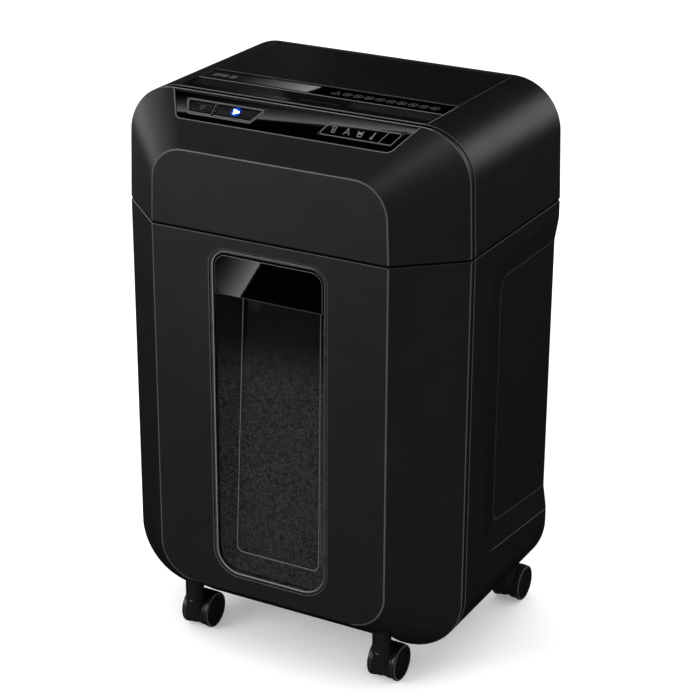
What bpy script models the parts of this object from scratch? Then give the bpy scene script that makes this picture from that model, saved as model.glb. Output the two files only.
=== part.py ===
"""Paper shredder: head with auto-feed lid over a cabinet with a pull-out bin, on four twin-wheel casters.

Metres, +Z up. X runs across the width, -Y is the front, and Z = 0 is the floor under the casters.
The origin is on the floor, under the middle of the bounding box.
"""
from math import atan2, ceil, copysign, cos, degrees, hypot, pi, radians, sin

import bmesh
import bpy
from mathutils import Matrix, Vector

# Casing: one rounded outline in XZ, run from front to back
HALF_WIDTH = 0.180
HEAD_HALF_WIDTH = 0.1777          # the head narrows a little towards its top corners
BOTTOM_Z = 0.0385
SEAM_Z = 0.442                    # joint between cabinet and head
TOP_Z = 0.5575
TOP_RADIUS = 0.050
BOTTOM_RADIUS = 0.060
REAR_Y = 0.1135
SHELL_FRONT_Y = -0.0795           # front edge of the rear shells
FASCIA_REAR_Y = -0.0815           # rear edge of the front pieces
FRONT_Y = -0.134                  # flat front panel
WALL = 0.003
SEAM_GAP = 0.0005                 # each side of the cabinet and head joint
GAP = 0.0003                      # between pieces that touch in the real machine

# Flat front panel, with a chamfer all round it back to the casing outline
PANEL_HALF = 0.1233
PANEL_HALF_TOP = 0.1218
PANEL_BOTTOM_Z = 0.075
PANEL_TOP_Z = 0.517
PANEL_TOP_RADIUS = 0.034
PANEL_BOTTOM_RADIUS = 0.037
CHAMFER_WALL_X = 0.0044           # inner chamfer surface, measured across X at one Y
CHAMFER_WALL_Z = 0.0037
PANEL_WALL_INSET = 0.0013

# Window in the bin front, and the handle bar across its top
WINDOW_HALF = 0.063
WINDOW_BOTTOM_Z = 0.093
WINDOW_TOP_Z = 0.429
WINDOW_TOP_RADIUS = 0.018
WINDOW_BOTTOM_RADIUS = 0.027
TRIM_WIDTH = 0.0040
TUB_DEPTH = 0.019
TUB_WALL = 0.002
HANDLE_BOTTOM_Z = 0.384

# Top of the head, front to back: rail, manual slot, symbol strip, lid
TOP_OPENING_HALF = 0.129
TOP_PIECE_HALF = 0.1285
SLOT_FRONT_Y = -0.0755
STRIP_FRONT_Y = -0.0405
LID_FRONT_Y = -0.0108
OPENING_REAR_Y = 0.1086
HINGE_Y = 0.100
HINGE_Z = 0.5495
HINGE_PIN_R = 0.002
LID_ROLL_R = 0.008
LID_THICKNESS = 0.0035

# Cutting mechanism: axes run along X, named by their Y and Z
CUTTER_FRONT = (-0.078, 0.484)
CUTTER_REAR = (-0.050, 0.484)
REDUCTION = (-0.010, 0.484)
MOTOR = (0.026, 0.484)
FEED_Z = 0.519
PLATE_X = 0.1215                  # inner face of each side plate
PLATE_THICKNESS = 0.003
DISC_R = 0.015
DISC_WIDTH = 0.008
DISC_PITCH = 0.020
CUTTER_CORE_R = 0.006
JOURNAL_R = 0.005
SHAFT_R = 0.003
ROLLER_R = 0.012
COARSE_MODULE = 0.002
FINE_MODULE = 0.0015
CUTTER_TEETH = 14
MAIN_TEETH = 28
SMALL_TEETH = 12
REDUCTION_TEETH = 36
FEED_TEETH = 16
GEAR_PLANES = ((0.127, 0.133), (0.136, 0.142), (0.145, 0.151))

# Casters: the wheel axle trails behind the stem
WHEEL_R = 0.0183
WHEEL_INNER_R = 0.0174
HOOD_R = 0.0187
CASTER_TRAIL = 0.0155
FRONT_STEM = (0.106, -0.1035)
REAR_STEM = (0.144, 0.0998)
SOCKET_R = 0.0093
SOCKET_BOTTOM_Z = 0.0374
STEM_PIN_R = 0.004
AXLE_R = 0.002

# Base plate and bin
BASE_Z = (0.066, 0.0695)
RAIL_TOP_Z = 0.0755
BUCKET_BOTTOM_Z = 0.076
BUCKET_FRONT_Y = -0.1085
BAY_FRONT_Y = -0.1285
BAY_HALF = 0.0720
BUCKET_TOP_Z = 0.429

CORNER_SEGMENTS = 8
ROUND_SEGMENTS = 12
WHEEL_SEGMENTS = 20

# Control area: distances across (u), down the top chamfer (v) and out of it (n), from its top edge
CHAMFER_TOP = Vector((0.0, -0.0805, TOP_Z))
CHAMFER_DOWN = Vector((0.0, FRONT_Y + 0.0805, PANEL_TOP_Z - TOP_Z)).normalized()
CHAMFER_OUT = Vector((1.0, 0.0, 0.0)).cross(CHAMFER_DOWN) * -1.0

COLOURS = {
    "casing": ((0.012, 0.012, 0.013, 1.0), 0.55, 0.0),
    "gloss": ((0.004, 0.004, 0.005, 1.0), 0.08, 0.0),
    "smoked": ((0.03, 0.03, 0.03, 1.0), 0.12, 0.0),
    "bin": ((0.02, 0.02, 0.02, 1.0), 0.6, 0.0),
    "steel": ((0.45, 0.45, 0.46, 1.0), 0.35, 1.0),
    "zinc": ((0.55, 0.56, 0.57, 1.0), 0.45, 1.0),
    "nylon": ((0.75, 0.73, 0.66, 1.0), 0.5, 0.0),
    "rubber": ((0.03, 0.03, 0.03, 1.0), 0.85, 0.0),
    "board": ((0.02, 0.12, 0.05, 1.0), 0.5, 0.0),
    "caster": ((0.015, 0.015, 0.016, 1.0), 0.5, 0.0),
    "motor": ((0.25, 0.25, 0.26, 1.0), 0.4, 1.0),
}


# ---------------------------------------------------------------- materials and objects

def material(name):
    colour, roughness, metallic = COLOURS[name]
    made = bpy.data.materials.new(name)
    made.use_nodes = True
    shader = made.node_tree.nodes["Principled BSDF"]
    shader.inputs["Base Color"].default_value = colour
    shader.inputs["Roughness"].default_value = roughness
    shader.inputs["Metallic"].default_value = metallic
    return made


def finish(name, mesh_data, colour, origin=(0.0, 0.0, 0.0)):
    """Turn a bmesh in world coordinates into a named object whose origin is at the given point."""
    bmesh.ops.remove_doubles(mesh_data, verts=mesh_data.verts, dist=1e-6)
    bmesh.ops.recalc_face_normals(mesh_data, faces=mesh_data.faces)
    bmesh.ops.translate(mesh_data, vec=-Vector(origin), verts=mesh_data.verts)
    mesh = bpy.data.meshes.new(name)
    mesh_data.to_mesh(mesh)
    mesh_data.free()
    made = bpy.data.objects.new(name, mesh)
    made.location = origin
    mesh.materials.append(MATERIALS[colour])
    bpy.context.scene.collection.objects.link(made)
    return made


def combine(target, tools, operation="DIFFERENCE"):
    """Cut the tools out of the target, or join them to it, and keep only the result."""
    for tool in tools:
        modifier = target.modifiers.new(tool.name, "BOOLEAN")
        modifier.operation = operation
        modifier.solver = "EXACT"
        modifier.object = tool
    bpy.context.view_layer.update()
    depsgraph = bpy.context.evaluated_depsgraph_get()
    mesh = bpy.data.meshes.new_from_object(target.evaluated_get(depsgraph))
    target.modifiers.clear()
    target.data = mesh
    for tool in tools:
        bpy.data.objects.remove(tool)
    return target


def smooth(made, angle=35.0):
    made.data.shade_smooth()
    made.data.set_sharp_from_angle(angle=radians(angle))
    return made


# ---------------------------------------------------------------- outlines

def rounded(half_low, half_high, low, high, radius_low, radius_high, segments=CORNER_SEGMENTS):
    """Outline symmetric about 0, anticlockwise from its low right corner."""
    corners = (
        (half_low, low, radius_low, -90),
        (half_high, high, radius_high, 0),
        (-half_high, high, radius_high, 90),
        (-half_low, low, radius_low, 180),
    )
    points = []
    for across, up, radius, start in corners:
        centre_across = across - copysign(radius, across)
        centre_up = up + radius if start in (-90, 180) else up - radius
        steps = segments if radius else 0
        for step in range(steps + 1):
            angle = radians(start + (90 * step / steps if steps else 0))
            points.append((centre_across + radius * cos(angle), centre_up + radius * sin(angle)))
    return points


def circle(radius, centre=(0.0, 0.0), segments=ROUND_SEGMENTS):
    turns = (2 * pi * step / segments for step in range(segments))
    return [(centre[0] + radius * cos(turn), centre[1] + radius * sin(turn)) for turn in turns]


def arc(radius, start, stop, steps, centre=(0.0, 0.0)):
    angles = (radians(start + (stop - start) * step / steps) for step in range(steps + 1))
    return [(centre[0] + radius * cos(angle), centre[1] + radius * sin(angle)) for angle in angles]


def fillet(points, radii, steps=5):
    """Round the corners of a polygon, each with its own radius."""
    result = []
    for index, corner in enumerate(points):
        here = Vector(corner)
        back = (Vector(points[index - 1]) - here).normalized()
        ahead = (Vector(points[(index + 1) % len(points)]) - here).normalized()
        radius = radii[index]
        if not radius:
            result.append(tuple(here))
            continue
        half_angle = back.angle(ahead) / 2
        centre = here + (back + ahead).normalized() * radius / sin(half_angle)
        reach = radius * cos(half_angle) / sin(half_angle)
        start = here + back * reach - centre
        stop = here + ahead * reach - centre
        for step in range(steps + 1):
            spoke = start.slerp(stop, step / steps).normalized() * radius
            result.append(tuple(centre + spoke))
    return result


def grow(points, distance):
    """Move every edge of an anticlockwise convex outline out by a distance."""
    moved = []
    for index, corner in enumerate(points):
        here = Vector(corner)
        first = (here - Vector(points[index - 1])).normalized()
        second = (Vector(points[(index + 1) % len(points)]) - here).normalized()
        normal_a = Vector((first.y, -first.x))
        normal_b = Vector((second.y, -second.x))
        mitre = (normal_a + normal_b).normalized()
        moved.append(tuple(here + mitre * distance / max(mitre.dot(normal_a), 0.3)))
    return moved


def bearing_radius(shaft_radius, segments=ROUND_SEGMENTS):
    """Corner radius of a many-sided hole whose flats clear a turning shaft by 0.05 mm."""
    return (shaft_radius + 0.00005) / cos(pi / segments)


# ---------------------------------------------------------------- solids

def to_world(axis, along, point):
    """Place a 2D outline point on a plane across the X, Y or Z axis."""
    if axis == "X":
        return (along, point[0], point[1])
    if axis == "Y":
        return (point[0], along, point[1])
    return (point[0], point[1], along)


def bridge(mesh_data, ring_a, ring_b):
    count = len(ring_a)
    for index in range(count):
        following = (index + 1) % count
        mesh_data.faces.new((ring_a[index], ring_a[following], ring_b[following], ring_b[index]))


def stack(name, axis, rings, colour, closed_loop=False, origin=(0.0, 0.0, 0.0)):
    """Solid through a run of (position, outline) rings: capped ends, or bridged back round to the first."""
    mesh_data = bmesh.new()
    made = []
    for along, outline in rings:
        made.append([mesh_data.verts.new(to_world(axis, along, point)) for point in outline])
    for ring_a, ring_b in zip(made, made[1:]):
        bridge(mesh_data, ring_a, ring_b)
    if closed_loop:
        bridge(mesh_data, made[-1], made[0])
    else:
        mesh_data.faces.new(made[0])
        mesh_data.faces.new(made[-1])
    return finish(name, mesh_data, colour, origin)


def prism(name, axis, outline, low, high, colour="casing", origin=(0.0, 0.0, 0.0)):
    return stack(name, axis, ((low, outline), (high, outline)), colour, origin=origin)


def box(name, x_range, y_range, z_range, colour="casing", origin=(0.0, 0.0, 0.0)):
    outline = [(x_range[0], y_range[0]), (x_range[1], y_range[0]), (x_range[1], y_range[1]), (x_range[0], y_range[1])]
    return prism(name, "Z", outline, z_range[0], z_range[1], colour, origin)


def rod(name, axis, centre, radius, low, high, colour="steel", segments=ROUND_SEGMENTS, origin=(0.0, 0.0, 0.0)):
    return smooth(prism(name, axis, circle(radius, centre, segments), low, high, colour, origin))


def lathe(name, profile, colour, origin, segments=ROUND_SEGMENTS):
    """Turn (x, radius) points about an X axis through the origin given; a radius of 0 closes an end."""
    mesh_data = bmesh.new()
    rings = []
    for along, radius in profile:
        if radius == 0:
            rings.append([mesh_data.verts.new((origin[0] + along, origin[1], origin[2]))])
            continue
        points = circle(radius, (origin[1], origin[2]), segments)
        rings.append([mesh_data.verts.new((origin[0] + along, *point)) for point in points])
    for ring_a, ring_b in zip(rings, rings[1:]):
        if len(ring_a) == 1 or len(ring_b) == 1:
            tip, ring = (ring_a[0], ring_b) if len(ring_a) == 1 else (ring_b[0], ring_a)
            for index in range(segments):
                mesh_data.faces.new((tip, ring[index], ring[(index + 1) % segments]))
        else:
            bridge(mesh_data, ring_a, ring_b)
    return smooth(finish(name, mesh_data, colour, origin))


def chamfer_slab(name, outline, low, high, colour="casing"):
    """Prism on the top chamfer, from (u, v) points and two heights along its outward normal."""
    mesh_data = bmesh.new()
    rings = []
    for height in (low, high):
        ring = []
        for across, down in outline:
            place = CHAMFER_TOP + CHAMFER_DOWN * down + CHAMFER_OUT * height
            ring.append(mesh_data.verts.new((across, place.y, place.z)))
        rings.append(ring)
    bridge(mesh_data, rings[0], rings[1])
    mesh_data.faces.new(rings[0])
    mesh_data.faces.new(rings[1])
    return finish(name, mesh_data, colour)


# ---------------------------------------------------------------- casing shells

def casing_outline(low, high, inset=0.0):
    """Casing outline between two heights; a corner is round only at the casing's real top or bottom."""
    at_bottom = low < BOTTOM_Z + 2 * WALL
    at_top = high > TOP_Z - 2 * WALL
    return rounded(
        HALF_WIDTH - inset,
        (HEAD_HALF_WIDTH if at_top else HALF_WIDTH) - inset,
        low,
        high,
        BOTTOM_RADIUS - inset if at_bottom else 0.0,
        TOP_RADIUS - inset if at_top else 0.0,
    )


def rear_cup(name, low, high):
    """Shell open at the front, with a rear wall."""
    outer = casing_outline(low, high)
    inner = casing_outline(low + WALL, high - WALL, WALL)
    rings = ((REAR_Y - WALL, inner), (SHELL_FRONT_Y, inner), (SHELL_FRONT_Y, outer), (REAR_Y, outer))
    return stack(name, "Y", rings, "casing")


def front_cup(name, low, high, panel_low, panel_high, inner_ends):
    """Shell open at the back, chamfered in to the flat front panel; inner_ends insets its low and high walls."""
    inset_low, inset_high = inner_ends
    at_bottom = low < SEAM_Z - 0.1
    panel = rounded(
        PANEL_HALF,
        PANEL_HALF if at_bottom else PANEL_HALF_TOP,
        panel_low,
        panel_high,
        PANEL_BOTTOM_RADIUS if at_bottom else 0.0,
        0.0 if at_bottom else PANEL_TOP_RADIUS,
    )
    panel_inner = rounded(
        PANEL_HALF - PANEL_WALL_INSET,
        (PANEL_HALF if at_bottom else PANEL_HALF_TOP) - PANEL_WALL_INSET,
        panel_low + (PANEL_WALL_INSET if at_bottom else inset_low),
        panel_high - (inset_high if at_bottom else PANEL_WALL_INSET),
        PANEL_BOTTOM_RADIUS if at_bottom else 0.0,
        0.0 if at_bottom else PANEL_TOP_RADIUS,
    )
    outer = casing_outline(low, high)
    inner = rounded(
        HALF_WIDTH - CHAMFER_WALL_X,
        (HALF_WIDTH if at_bottom else HEAD_HALF_WIDTH) - CHAMFER_WALL_X,
        low + inset_low,
        high - inset_high,
        BOTTOM_RADIUS - CHAMFER_WALL_X if at_bottom else 0.0,
        0.0 if at_bottom else TOP_RADIUS - CHAMFER_WALL_X,
    )
    rings = (
        (FRONT_Y + WALL, panel_inner),
        (FASCIA_REAR_Y, inner),
        (FASCIA_REAR_Y, outer),
        (FRONT_Y, panel),
    )
    return stack(name, "Y", rings, "casing")


def recess_outline(front, top, bottom_front, bottom_rear, radius):
    rear = REAR_Y + 0.010
    points = [(front, bottom_front), (rear, bottom_rear), (rear, top), (front, top)]
    return fillet(points, (radius, 0, 0, radius))


RECESS_RIM = recess_outline(-0.0385, 0.423, 0.126, 0.111, 0.025)
RECESS_FLOOR = recess_outline(-0.0085, 0.400, 0.150, 0.135, 0.012)
RECESS_DEPTH = 0.0045


def make_cabinet_shell():
    shell = rear_cup("cabinet_shell", BOTTOM_Z, SEAM_Z - SEAM_GAP)
    pads = []
    recesses = []
    for side in (-1, 1):
        inner_x = side * (HALF_WIDTH - RECESS_DEPTH - WALL)
        pads.append(prism("pad", "X", RECESS_RIM, inner_x, side * (HALF_WIDTH - WALL / 2)))
        wall_x = side * HALF_WIDTH
        rings = (
            (wall_x - side * RECESS_DEPTH, RECESS_FLOOR),
            (wall_x, RECESS_RIM),
            (wall_x + side * 0.001, RECESS_RIM),
        )
        recesses.append(stack("recess", "X", rings, "casing"))
    for pad in pads:
        combine(pad, [box("behind_rear_wall", (-0.2, 0.2), (REAR_Y - WALL / 2, 0.2), (0.0, 0.6))])
    combine(shell, pads, "UNION")
    exit_hole = box("exit", (-0.118, 0.118), (-0.0765, -0.046), (0.43, 0.45))
    sockets = [
        prism("socket", "Z", circle(SOCKET_R + 2 * GAP, (side * REAR_STEM[0], REAR_STEM[1])), 0.03, 0.064)
        for side in (-1, 1)
    ]
    return combine(shell, recesses + sockets + [exit_hole])


def make_head_shell():
    shell = rear_cup("head_shell", SEAM_Z + SEAM_GAP, TOP_Z)
    cuts = [
        box("top", (-TOP_OPENING_HALF, TOP_OPENING_HALF), (SLOT_FRONT_Y, OPENING_REAR_Y), (0.55, 0.57)),
        box("exit", (-0.118, 0.118), (-0.0765, -0.046), (0.435, 0.45)),
        box("inlet", *grow_box(INLET_BOX, GAP)),
        box("rocker", *grow_box(ROCKER_HOLE, 0.0)),
        box("vent", *grow_box(VENT_BOX, GAP)),
    ]
    return combine(shell, cuts)


def grow_box(ranges, distance):
    """Widen a box across X and Z, and run it through the rear wall in Y."""
    x_range, z_range = ranges
    return (
        (x_range[0] - distance, x_range[1] + distance),
        (0.105, 0.12),
        (z_range[0] - distance, z_range[1] + distance),
    )


INLET_BOX = ((-0.150, -0.122), (0.457, 0.478))
ROCKER_HOLE = ((-0.106, -0.086), (0.455, 0.480))
VENT_BOX = ((0.020, 0.120), (0.458, 0.506))


def make_head_fascia():
    fascia = front_cup(
        "head_fascia", SEAM_Z + SEAM_GAP, TOP_Z, SEAM_Z + SEAM_GAP, PANEL_TOP_Z, (WALL, CHAMFER_WALL_Z)
    )
    return combine(fascia, [chamfer_slab("panel_hole", grow(PANEL_OUTLINE, GAP), -0.009, 0.004)])


def make_bin_front():
    front = front_cup(
        "bin_front", BOTTOM_Z, SEAM_Z - SEAM_GAP, PANEL_BOTTOM_Z, SEAM_Z - SEAM_GAP, (CHAMFER_WALL_Z, WALL)
    )
    window = rounded(
        WINDOW_HALF, WINDOW_HALF, WINDOW_BOTTOM_Z, WINDOW_TOP_Z, WINDOW_BOTTOM_RADIUS, WINDOW_TOP_RADIUS, 5
    )
    cuts = [prism("window", "Y", window, -0.14, -0.12)]
    for side in (-1, 1):
        # open at the back, so that the bin draws forward off the caster sockets
        notch = (side * FRONT_STEM[0] - 0.0110, side * FRONT_STEM[0] + 0.0110)
        cuts.append(box("notch", notch, (FRONT_STEM[1] - 0.0115, -0.07), (0.03, 0.0720)))
    return combine(front, cuts)


# ---------------------------------------------------------------- control area and top

PANEL_OUTLINE = fillet([(-0.127, 0.0015), (0.127, 0.0015), (0.110, 0.0342), (-0.110, 0.0342)], (0, 0, 0.008, 0.008))
BUTTON_GROUP = [(-0.108, 0.0115), (-0.027, 0.0115), (-0.036, 0.0261), (-0.101, 0.0261)]
REVERSE_OUTLINE = [(-0.108, 0.0115), (-0.0765, 0.0115), (-0.0765, 0.0261), (-0.101, 0.0261)]
START_OUTLINE = [(-0.0755, 0.0115), (-0.027, 0.0115), (-0.036, 0.0261), (-0.0755, 0.0261)]
LENS_OUTLINE = [(0.0406, 0.0119), (0.1138, 0.0119), (0.107, 0.0258), (0.0347, 0.0258)]
BEZEL_WIDTH = 0.0012
BUTTON_CLEARANCE = 0.0004
BUTTON_HEIGHT = 0.0008


def make_control_area():
    panel = chamfer_slab("control_panel", PANEL_OUTLINE, -WALL, 0.0, "gloss")
    cuts = [
        chamfer_slab("bezel_hole", grow(BUTTON_GROUP, BEZEL_WIDTH + GAP), -0.01, 0.01),
        chamfer_slab("lens_hole", grow(LENS_OUTLINE, GAP), -0.01, 0.01),
    ]
    combine(panel, cuts)
    bezel = chamfer_slab("button_bezel", grow(BUTTON_GROUP, BEZEL_WIDTH), -WALL, 0.0004, "gloss")
    combine(bezel, [chamfer_slab("bezel_inner", BUTTON_GROUP, -0.01, 0.01)])
    chamfer_slab("indicator_lens", LENS_OUTLINE, -WALL, -0.0002, "smoked")
    for name, outline in (("reverse_button", REVERSE_OUTLINE), ("start_button", START_OUTLINE)):
        chamfer_slab(name, grow(outline, -BUTTON_CLEARANCE), -0.006, BUTTON_HEIGHT, "gloss")


def make_top_pieces():
    box("symbol_strip", (-TOP_PIECE_HALF, TOP_PIECE_HALF), (STRIP_FRONT_Y + GAP, LID_FRONT_Y - 0.0006),
        (0.5545, TOP_Z - GAP), "gloss")

    def ring(half, y_range):
        return [(-half, y_range[0]), (half, y_range[0]), (half, y_range[1]), (-half, y_range[1])]

    # a shallow ramp falls forward from the strip to the mouth, and the neck drops straight to the cutters
    front = SLOT_FRONT_Y + GAP
    rear = STRIP_FRONT_Y - GAP
    rings = (
        (TOP_Z - GAP, ring(TOP_PIECE_HALF, (front, rear))),
        (TOP_Z - GAP, ring(0.1250, (front + 0.0012, rear - 0.0012))),
        (0.5548, ring(0.1190, (front + 0.0012, -0.0610))),
        (0.5470, ring(0.1170, (-0.0690, -0.0595))),
        (0.5160, ring(0.1165, (-0.0675, -0.0605))),
        (0.5160, ring(0.1200, (-0.0700, -0.0580))),
        (0.5460, ring(0.1205, (-0.0715, -0.0570))),
        (0.5520, ring(TOP_PIECE_HALF, (front, rear))),
    )
    stack("feed_throat", "Z", rings, "gloss", closed_loop=True)


def make_feed_tray():
    tray = box("auto_feed_tray", (-0.1275, 0.1275), (-0.0100, 0.0985), (0.5250, 0.5530))
    ears = []
    for side in (-1, 1):
        span = sorted((side * 0.1240, side * 0.1275))
        ears.append(prism("ear", "X", circle(LID_ROLL_R - 0.0040, (HINGE_Y, HINGE_Z)), *span))
    combine(tray, ears, "UNION")
    roller_y = feed_centre()[0]
    cuts = [
        box("inside", (-0.1250, 0.1250), (-0.0200, 0.0890), (0.5275, 0.5600)),
        box("behind", (-0.1250, 0.1250), (0.0915, 0.1100), (0.5200, 0.5600)),
        prism("pin", "X", circle(HINGE_PIN_R + 0.0003, (HINGE_Y, HINGE_Z)), -0.13, 0.13),
    ]
    for side in (-1, 1):
        window = sorted((side * 0.028, side * 0.062))
        cuts.append(box("window", window, (roller_y - 0.0135, roller_y + 0.0135), (0.52, 0.53)))
    combine(tray, cuts)
    rod("lid_hinge_pin", "X", (HINGE_Y, HINGE_Z), HINGE_PIN_R, -0.1275, 0.1275)


def make_lid():
    """Flat lid whose rear edge rolls round the hinge pin, with two lugs on the pin and two guide pins."""
    top = (HINGE_Y, TOP_Z - LID_THICKNESS)
    outline = [(LID_FRONT_Y, TOP_Z - LID_THICKNESS), top]
    outline += arc(LID_ROLL_R - 0.0030, 90, -20, 5, (HINGE_Y, HINGE_Z))
    outline += arc(LID_ROLL_R, -20, 90, 6, (HINGE_Y, HINGE_Z))
    outline += [(LID_FRONT_Y, TOP_Z)]
    lid = prism("auto_lid", "X", outline, -TOP_PIECE_HALF, TOP_PIECE_HALF, origin=(0.0, HINGE_Y, HINGE_Z))
    parts = []
    for side in (-1, 1):
        span = sorted((side * 0.100, side * 0.112))
        parts.append(prism("lug", "X", circle(LID_ROLL_R - 0.0004, (HINGE_Y, HINGE_Z)), *span))
        parts.append(prism("guide", "Z", circle(0.002, (side * 0.075, 0.035), 8), 0.5360, 0.5550))
    combine(lid, parts, "UNION")
    hole = prism("hole", "X", circle(bearing_radius(HINGE_PIN_R), (HINGE_Y, HINGE_Z)), -0.13, 0.13)
    combine(lid, [hole])
    plate = box("pressure_plate", (-0.095, 0.095), (0.005, 0.065), (0.5390, 0.5410), "zinc")
    holes = [prism("hole", "Z", circle(0.0023, (side * 0.075, 0.035), 8), 0.53, 0.55) for side in (-1, 1)]
    combine(plate, holes)


def make_rear_fittings():
    inlet_x, inlet_z = INLET_BOX
    inlet = box("power_inlet", inlet_x, (0.096, REAR_Y), inlet_z)
    pocket_x = (inlet_x[0] + 0.002, inlet_x[1] - 0.002)
    pocket_z = (inlet_z[0] + 0.002, inlet_z[1] - 0.002)
    combine(inlet, [box("pocket", pocket_x, (0.0995, 0.12), pocket_z)])
    # rocker, tilted to its off position about an axis through the rear wall
    hole_x, hole_z = ROCKER_HOLE
    pivot = Vector((0.0, REAR_Y - 0.0030, sum(hole_z) / 2))
    outline = [(-0.006, -0.009), (0.0, -0.0105), (0.0030, -0.0100), (0.0012, 0.0), (0.0030, 0.0100),
               (0.0, 0.0105), (-0.006, 0.009)]
    outline = [(pivot.y + point[0], pivot.z + point[1]) for point in outline]
    rocker = prism("mains_switch", "X", outline, hole_x[0] + 0.0008, hole_x[1] - 0.0008, origin=pivot)
    rocker.rotation_euler.x = radians(-ROCKER_TILT)
    vent_x, vent_z = VENT_BOX
    vent = box("rear_vent", vent_x, (REAR_Y - WALL, REAR_Y), vent_z)
    slots = []
    for index in range(6):
        low = vent_z[0] + 0.005 + 0.007 * index
        slots.append(box("slot", (vent_x[0] + 0.006, vent_x[1] - 0.006), (0.1, 0.12), (low, low + 0.0035)))
    combine(vent, slots)


ROCKER_TILT = 7.0


# ---------------------------------------------------------------- mechanism

def feed_centre():
    """Feed shaft: in mesh with the reduction gear, at a set height under the tray."""
    distance = FINE_MODULE * (REDUCTION_TEETH + FEED_TEETH) / 2
    rise = FEED_Z - REDUCTION[1]
    return (REDUCTION[0] + (distance ** 2 - rise ** 2) ** 0.5, FEED_Z)


def mesh_phase(phase, teeth, centre, other_teeth, other_centre):
    """Angle of a tooth on the other gear that puts one of its gaps over the first gear's teeth, in degrees."""
    line = degrees(atan2(other_centre[1] - centre[1], other_centre[0] - centre[0]))
    return line + 180 - (phase - line) * teeth / other_teeth + 180 / other_teeth


def gear_outline(teeth, module, centre, phase):
    pitch_radius = module * teeth / 2
    levels = ((-0.27, -1.2), (-0.11, 0.9), (0.11, 0.9), (0.27, -1.2))
    points = []
    for tooth in range(teeth):
        for part, height in levels:
            angle = radians(phase + 360 * (tooth + part) / teeth)
            radius = pitch_radius + module * height
            points.append((centre[0] + radius * cos(angle), centre[1] + radius * sin(angle)))
    return points


def gear(name, teeth, module, centre, phase, plane, colour):
    low, high = GEAR_PLANES[plane]
    outline = gear_outline(teeth, module, centre, phase)
    return prism(name, "X", outline, low, high, colour, origin=(0.0, *centre))


def make_gears():
    gear("cutter_gear_rear", CUTTER_TEETH, COARSE_MODULE, CUTTER_REAR, 180.0, 0, "steel")
    phase = mesh_phase(180.0, CUTTER_TEETH, CUTTER_REAR, CUTTER_TEETH, CUTTER_FRONT)
    gear("cutter_gear_front", CUTTER_TEETH, COARSE_MODULE, CUTTER_FRONT, phase, 0, "steel")
    main = gear("main_gear", MAIN_TEETH, COARSE_MODULE, CUTTER_REAR, 0.0, 1, "steel")
    hub = prism("hub", "X", circle(JOURNAL_R, CUTTER_REAR), GEAR_PLANES[0][1] + GAP, GEAR_PLANES[1][0] + GAP)
    combine(main, [hub], "UNION")
    phase = mesh_phase(0.0, MAIN_TEETH, CUTTER_REAR, SMALL_TEETH, REDUCTION)
    pinion = gear("reduction_pinion", SMALL_TEETH, COARSE_MODULE, REDUCTION, phase, 1, "steel")
    shaft = prism("shaft", "X", circle(SHAFT_R, REDUCTION), 0.1120, GEAR_PLANES[1][0] + GAP)
    neck = prism("neck", "X", circle(SHAFT_R, REDUCTION), GEAR_PLANES[1][1] - GAP, GEAR_PLANES[2][0] - GAP)
    combine(pinion, [shaft, neck], "UNION")
    gear("reduction_gear", REDUCTION_TEETH, FINE_MODULE, REDUCTION, 0.0, 2, "nylon")
    phase = mesh_phase(0.0, REDUCTION_TEETH, REDUCTION, SMALL_TEETH, MOTOR)
    pinion = gear("motor_pinion", SMALL_TEETH, FINE_MODULE, MOTOR, phase, 2, "steel")
    shaft = prism("shaft", "X", circle(SHAFT_R, MOTOR), 0.1185, GEAR_PLANES[2][0] + GAP)
    combine(pinion, [shaft], "UNION")
    phase = mesh_phase(0.0, REDUCTION_TEETH, REDUCTION, FEED_TEETH, feed_centre())
    gear("feed_gear", FEED_TEETH, FINE_MODULE, feed_centre(), phase, 2, "nylon")


def make_cutter(name, centre, first_disc, count):
    """Shaft with journals at its ends and a row of cutting discs."""
    profile = [(-0.1275, 0.0), (-0.1275, JOURNAL_R), (-0.1200, JOURNAL_R), (-0.1200, CUTTER_CORE_R)]
    for index in range(count):
        start = first_disc + index * DISC_PITCH - DISC_WIDTH / 2
        profile += [(start, CUTTER_CORE_R), (start, DISC_R), (start + DISC_WIDTH, DISC_R),
                    (start + DISC_WIDTH, CUTTER_CORE_R)]
    profile += [(0.1200, CUTTER_CORE_R), (0.1200, JOURNAL_R), (0.1267, JOURNAL_R), (0.1267, 0.0)]
    lathe(name, profile, "steel", (0.0, *centre))


def make_stripper(name, back_y, tip_y, disc_centres):
    """Comb whose notches clear the discs, so that its fingers reach between them."""
    half = 0.119
    notch_half = DISC_WIDTH / 2 + 0.001
    toothed = [(-half, tip_y)]
    root_y = back_y + copysign(0.0045, tip_y - back_y)
    for centre in disc_centres:
        left = max(centre - notch_half, -half + 0.001)
        right = min(centre + notch_half, half - 0.001)
        toothed += [(left, tip_y), (left, root_y), (right, root_y), (right, tip_y)]
    toothed += [(half, tip_y), (half, back_y), (-half, back_y)]
    prism(name, "Z", toothed, 0.482, 0.486, "nylon")


def make_side_plate(name, side):
    outline = [(-0.1030, 0.4460), (0.0620, 0.4460), (0.0620, 0.5050), (0.0280, 0.5243), (-0.0140, 0.5243),
               (-0.0500, 0.5130), (-0.1030, 0.5130)]
    span = sorted((side * PLATE_X, side * (PLATE_X + PLATE_THICKNESS)))
    plate = prism(name, "X", outline, *span, "zinc")
    holes = [(CUTTER_FRONT, JOURNAL_R), (CUTTER_REAR, JOURNAL_R), (feed_centre(), SHAFT_R)]
    if side > 0:
        holes += [(REDUCTION, SHAFT_R), (MOTOR, SHAFT_R)]
    cuts = [prism("hole", "X", circle(bearing_radius(radius), centre), span[0] - 0.01, span[1] + 0.01)
            for centre, radius in holes]
    return combine(plate, cuts)


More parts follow.
